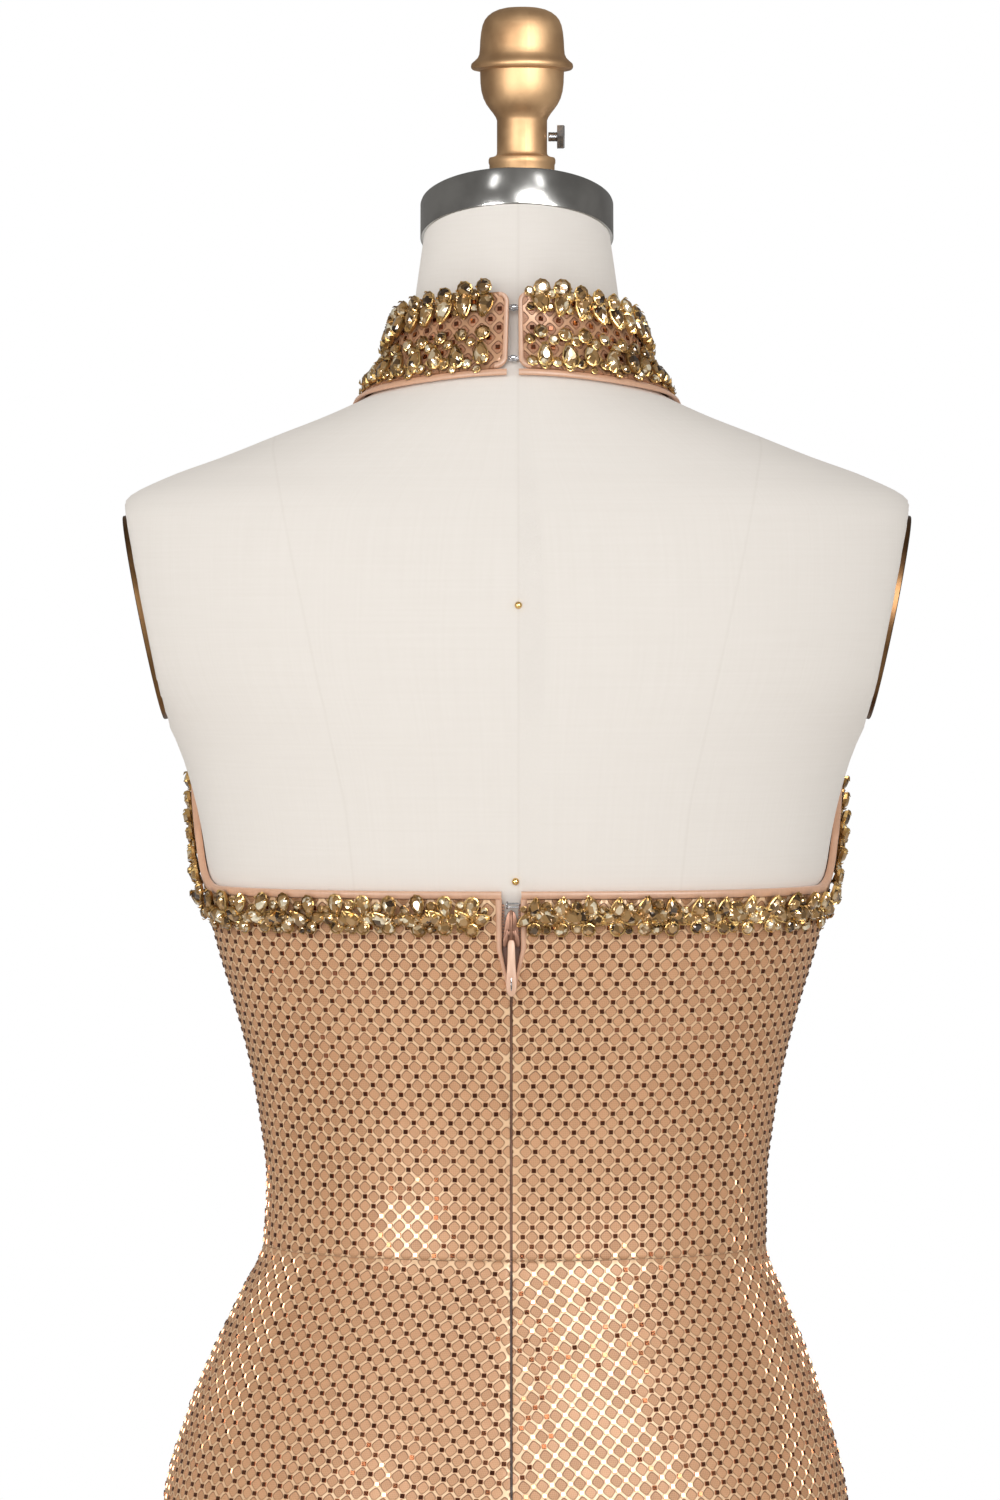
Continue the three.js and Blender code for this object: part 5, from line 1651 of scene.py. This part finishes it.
def finial_bolt():
    """A bolt with a hexagon head and a cut thread, its flats level."""
    points, faces = turned([(0, 17.2), (5.5, 17.2), (5.5, 20.3), (5.1, 20.9), (0, 20.9)], segments=12)
    turn = np.arctan2(points[:, 1], points[:, 0])
    points[:, :2] /= np.cos(turn - 60 * DEG * np.round(turn / (60 * DEG)))[:, None]
    thread = [(0, 12.9)]
    for step in range(6):
        low = 12.9 + step * 0.72
        thread += [(2.05, low), (2.4, low + 0.3), (2.4, low + 0.42)]
    shank = turned(thread + [(2.05, 17.3), (0, 17.3)], segments=32)
    parts = []
    for part_points, part_faces in ((points, faces), shank):
        level = tilted(part_points, "y", -math.pi / 2)
        parts.append((level + (FINIAL["x"], FINIAL["y"], FINIAL["bottom"] + 38.9), part_faces))
    piece = solid("finial_bolt_steel", parts, smooth_over=25)
    return place(piece, "steel", FINISH["nickel"], nodes=["finial_bolt"])


def form_pins():
    for name in ("form_pin_upper", "form_pin_lower"):
        low, high = (np.array(corner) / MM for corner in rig.box(name))
        middle = (low + high) / 2
        profile = [(0, 0), (1.75, 0), (1.75, 0.3), (1.6, 0.8), (1.25, 1.25), (0.7, 1.58), (0, 1.7)]
        points, faces = turned(profile, segments=32)
        points = tilted(points, "x", -math.pi / 2) + (middle[0], low[1], middle[2])
        place(solid(name + "_brass", [(points, faces)]), "brass", FINISH["brass"], nodes=[name])


def stand():
    boss_top = 60
    profile = [(0, 0), (183.6, 0), (184.6, 0.5), (185, 1.6), (185, 9.4), (184.2, 11.6), (182, 13.4),
               (179, 14), (60, 14.6), (46, 15.6), (40, 18.4), (36.4, 22), (34, 27), (31.6, 34), (29, 42),
               (27, 50), (26.2, 57), (25.4, 59.4), (24.2, boss_top), (0, boss_top)]
    base = solid("stand_base_iron", [turned(profile, segments=128)], smooth_over=30)
    place(base, "dark_metal", FINISH["iron"], nodes=["stand_base"])
    top = WAIST_Z + FORM_BOTTOM - SEAM
    low = boss_top + SEAM
    profile = [(0, low), (14.4, low), (15, low + 0.6), (15, top - 0.6), (14.4, top), (0, top)]
    pole = solid("stand_pole_steel", [turned(profile, segments=64)])
    place(pole, "steel", FINISH["steel"], nodes=["stand_pole"])


def declare_cloth():
    """Declares each piece of cloth with the size it was cut to, from its own flat lattice."""
    carried = {
        "bodice_front": [*bindings, *[piece for trim in trims for piece in trim]],
        "bodice_back_left": folds[:1],
        "bodice_back_right": folds[1:],
    }
    for name, (cloth, studs, cut) in sheets.items():
        held_pieces = [studs, *carried.get(name, [])]
        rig.sheet(cloth, held="hung", rests_on=["form_body"], with_pieces=held_pieces, **cut)
    cloth, studs, cut = collar
    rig.sheet(cloth, held="stretched", rests_on=["form_body"], with_pieces=[studs, *collar_pieces], **cut)


bindings = [edge_binding(side_name, side) for side_name, side in SIDES]
collar = collar_band()
collar_pieces = collar_satin() + collar_ends()
chance = np.random.default_rng(7)
trims = [trim_stones(side_name, side, chance) for side_name, side in SIDES]
collar_pieces += collar_stones(chance)
zip_tape()
folds = opening_folds()
zip_slider()
zip_pull()
back_hook()
collar_hooks()
form_body()
arm_plates()
neck_plate()
finial()
finial_bolt()
form_pins()
stand()
declare_cloth()


# Stage, lights and camera

def softbox(name, at, aim, size, power, mirrored=False):
    """A soft light. A mirrored one is seen only in polished pieces, the others only light the scene."""
    light = bpy.data.lights.new(name, "AREA")
    light.shape = "RECTANGLE"
    light.size, light.size_y = size
    light.energy = power
    lamp = bpy.data.objects.new(name, light)
    lamp.location = at
    direction = [a - b for a, b in zip(aim, at)]
    lamp.rotation_euler = Vector(direction).to_track_quat("-Z", "Y").to_euler()
    lamp.visible_glossy = mirrored
    lamp.visible_diffuse = not mirrored
    bpy.context.scene.collection.objects.link(lamp)
    return lamp


def stage():
    floor = solid("floor", [turned([(0, -6), (2600, -6), (2600, -1), (0, -1)])])
    finish, tree, shader = new_finish("pale_floor", Roughness=0.7)
    coordinates = add_node(tree, "ShaderNodeTexCoord").outputs["Object"]
    cloud = add_node(tree, "ShaderNodeTexNoise", {"Vector": coordinates, "Scale": 3.0, "Detail": 3.0})
    base = blend(tree, cloud.outputs[0], (236, 234, 231), (243, 242, 240))
    tree.links.new(base, shader.inputs["Base Color"])
    floor.data.materials.append(finish)
    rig.stage(floor)

    world = bpy.data.worlds.new("studio")
    bpy.context.scene.world = world
    world.use_nodes = True
    tree = world.node_tree
    tree.nodes.clear()
    seen = add_node(tree, "ShaderNodeBackground", {"Color": (1, 1, 1, 1), "Strength": 1.0})
    felt = add_node(tree, "ShaderNodeBackground", {"Color": (1, 0.99, 0.98, 1), "Strength": 0.5})
    mirrored = add_node(tree, "ShaderNodeBackground", {"Color": (1, 0.97, 0.94, 1), "Strength": 0.2})
    ray = add_node(tree, "ShaderNodeLightPath").outputs
    shown = felt
    for kind, backdrop in (("Is Glossy Ray", mirrored), ("Is Camera Ray", seen)):
        inputs = {0: ray[kind], 1: shown.outputs[0], 2: backdrop.outputs[0]}
        shown = add_node(tree, "ShaderNodeMixShader", inputs)
    out = add_node(tree, "ShaderNodeOutputWorld")
    tree.links.new(shown.outputs[0], out.inputs[0])

    softbox("key_box", (0.7, 3.0, 2.6), (0, 0, 1.2), (2.4, 1.8), 34)
    softbox("left_box", (2.6, 1.4, 1.6), (0, 0, 1.3), (1.2, 1.8), 12)
    softbox("right_box", (-2.6, 1.5, 1.7), (0, 0, 1.3), (1.2, 1.8), 13)
    softbox("front_box", (0.0, -3.0, 2.4), (0, 0, 1.0), (2.0, 1.6), 24)
    softbox("right_mirror_box", (-0.9, 2.75, 2.12), (-0.04, 0.1, 1.0), (1.38, 1.06), 115, mirrored=True)
    softbox("low_right_mirror_box", (-1.88, 2.4, 1.64), (-0.08, 0.1, 0.97), (0.8, 0.52), 32, mirrored=True)
    softbox("left_mirror_box", (1.54, 2.69, 1.36), (0.05, 0.1, 1.07), (1.1, 1.06), 74, mirrored=True)
    softbox("high_right_mirror_box", (-1.35, 1.86, 3.5), (0, 0, 1.57), (0.3, 0.8), 4, mirrored=True)
    softbox("high_left_mirror_box", (1.35, 1.86, 3.5), (0, 0, 1.57), (0.3, 0.8), 4, mirrored=True)


CAMERA = {"x": 0.0083, "y": 2.9, "z": 1.389, "pitch": 1.552, "lens": 141.7}


def camera():
    view = bpy.data.cameras.new("photo_view")
    view.lens = CAMERA["lens"]
    view.sensor_width = 36
    holder = bpy.data.objects.new("photo_view", view)
    holder.location = (CAMERA["x"], CAMERA["y"], CAMERA["z"])
    holder.rotation_euler = ((90 - CAMERA["pitch"]) * DEG, 0, math.pi)
    bpy.context.scene.collection.objects.link(holder)
    bpy.context.scene.camera = holder


stage()
camera()
bpy.context.scene.view_settings.view_transform = "Standard"

visual_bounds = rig.bounds()
with open("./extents.json", "w") as handle:
    json.dump({"cad": [list(corner) for corner in cad_bounds], "visual": [list(corner) for corner in visual_bounds]}, handle)
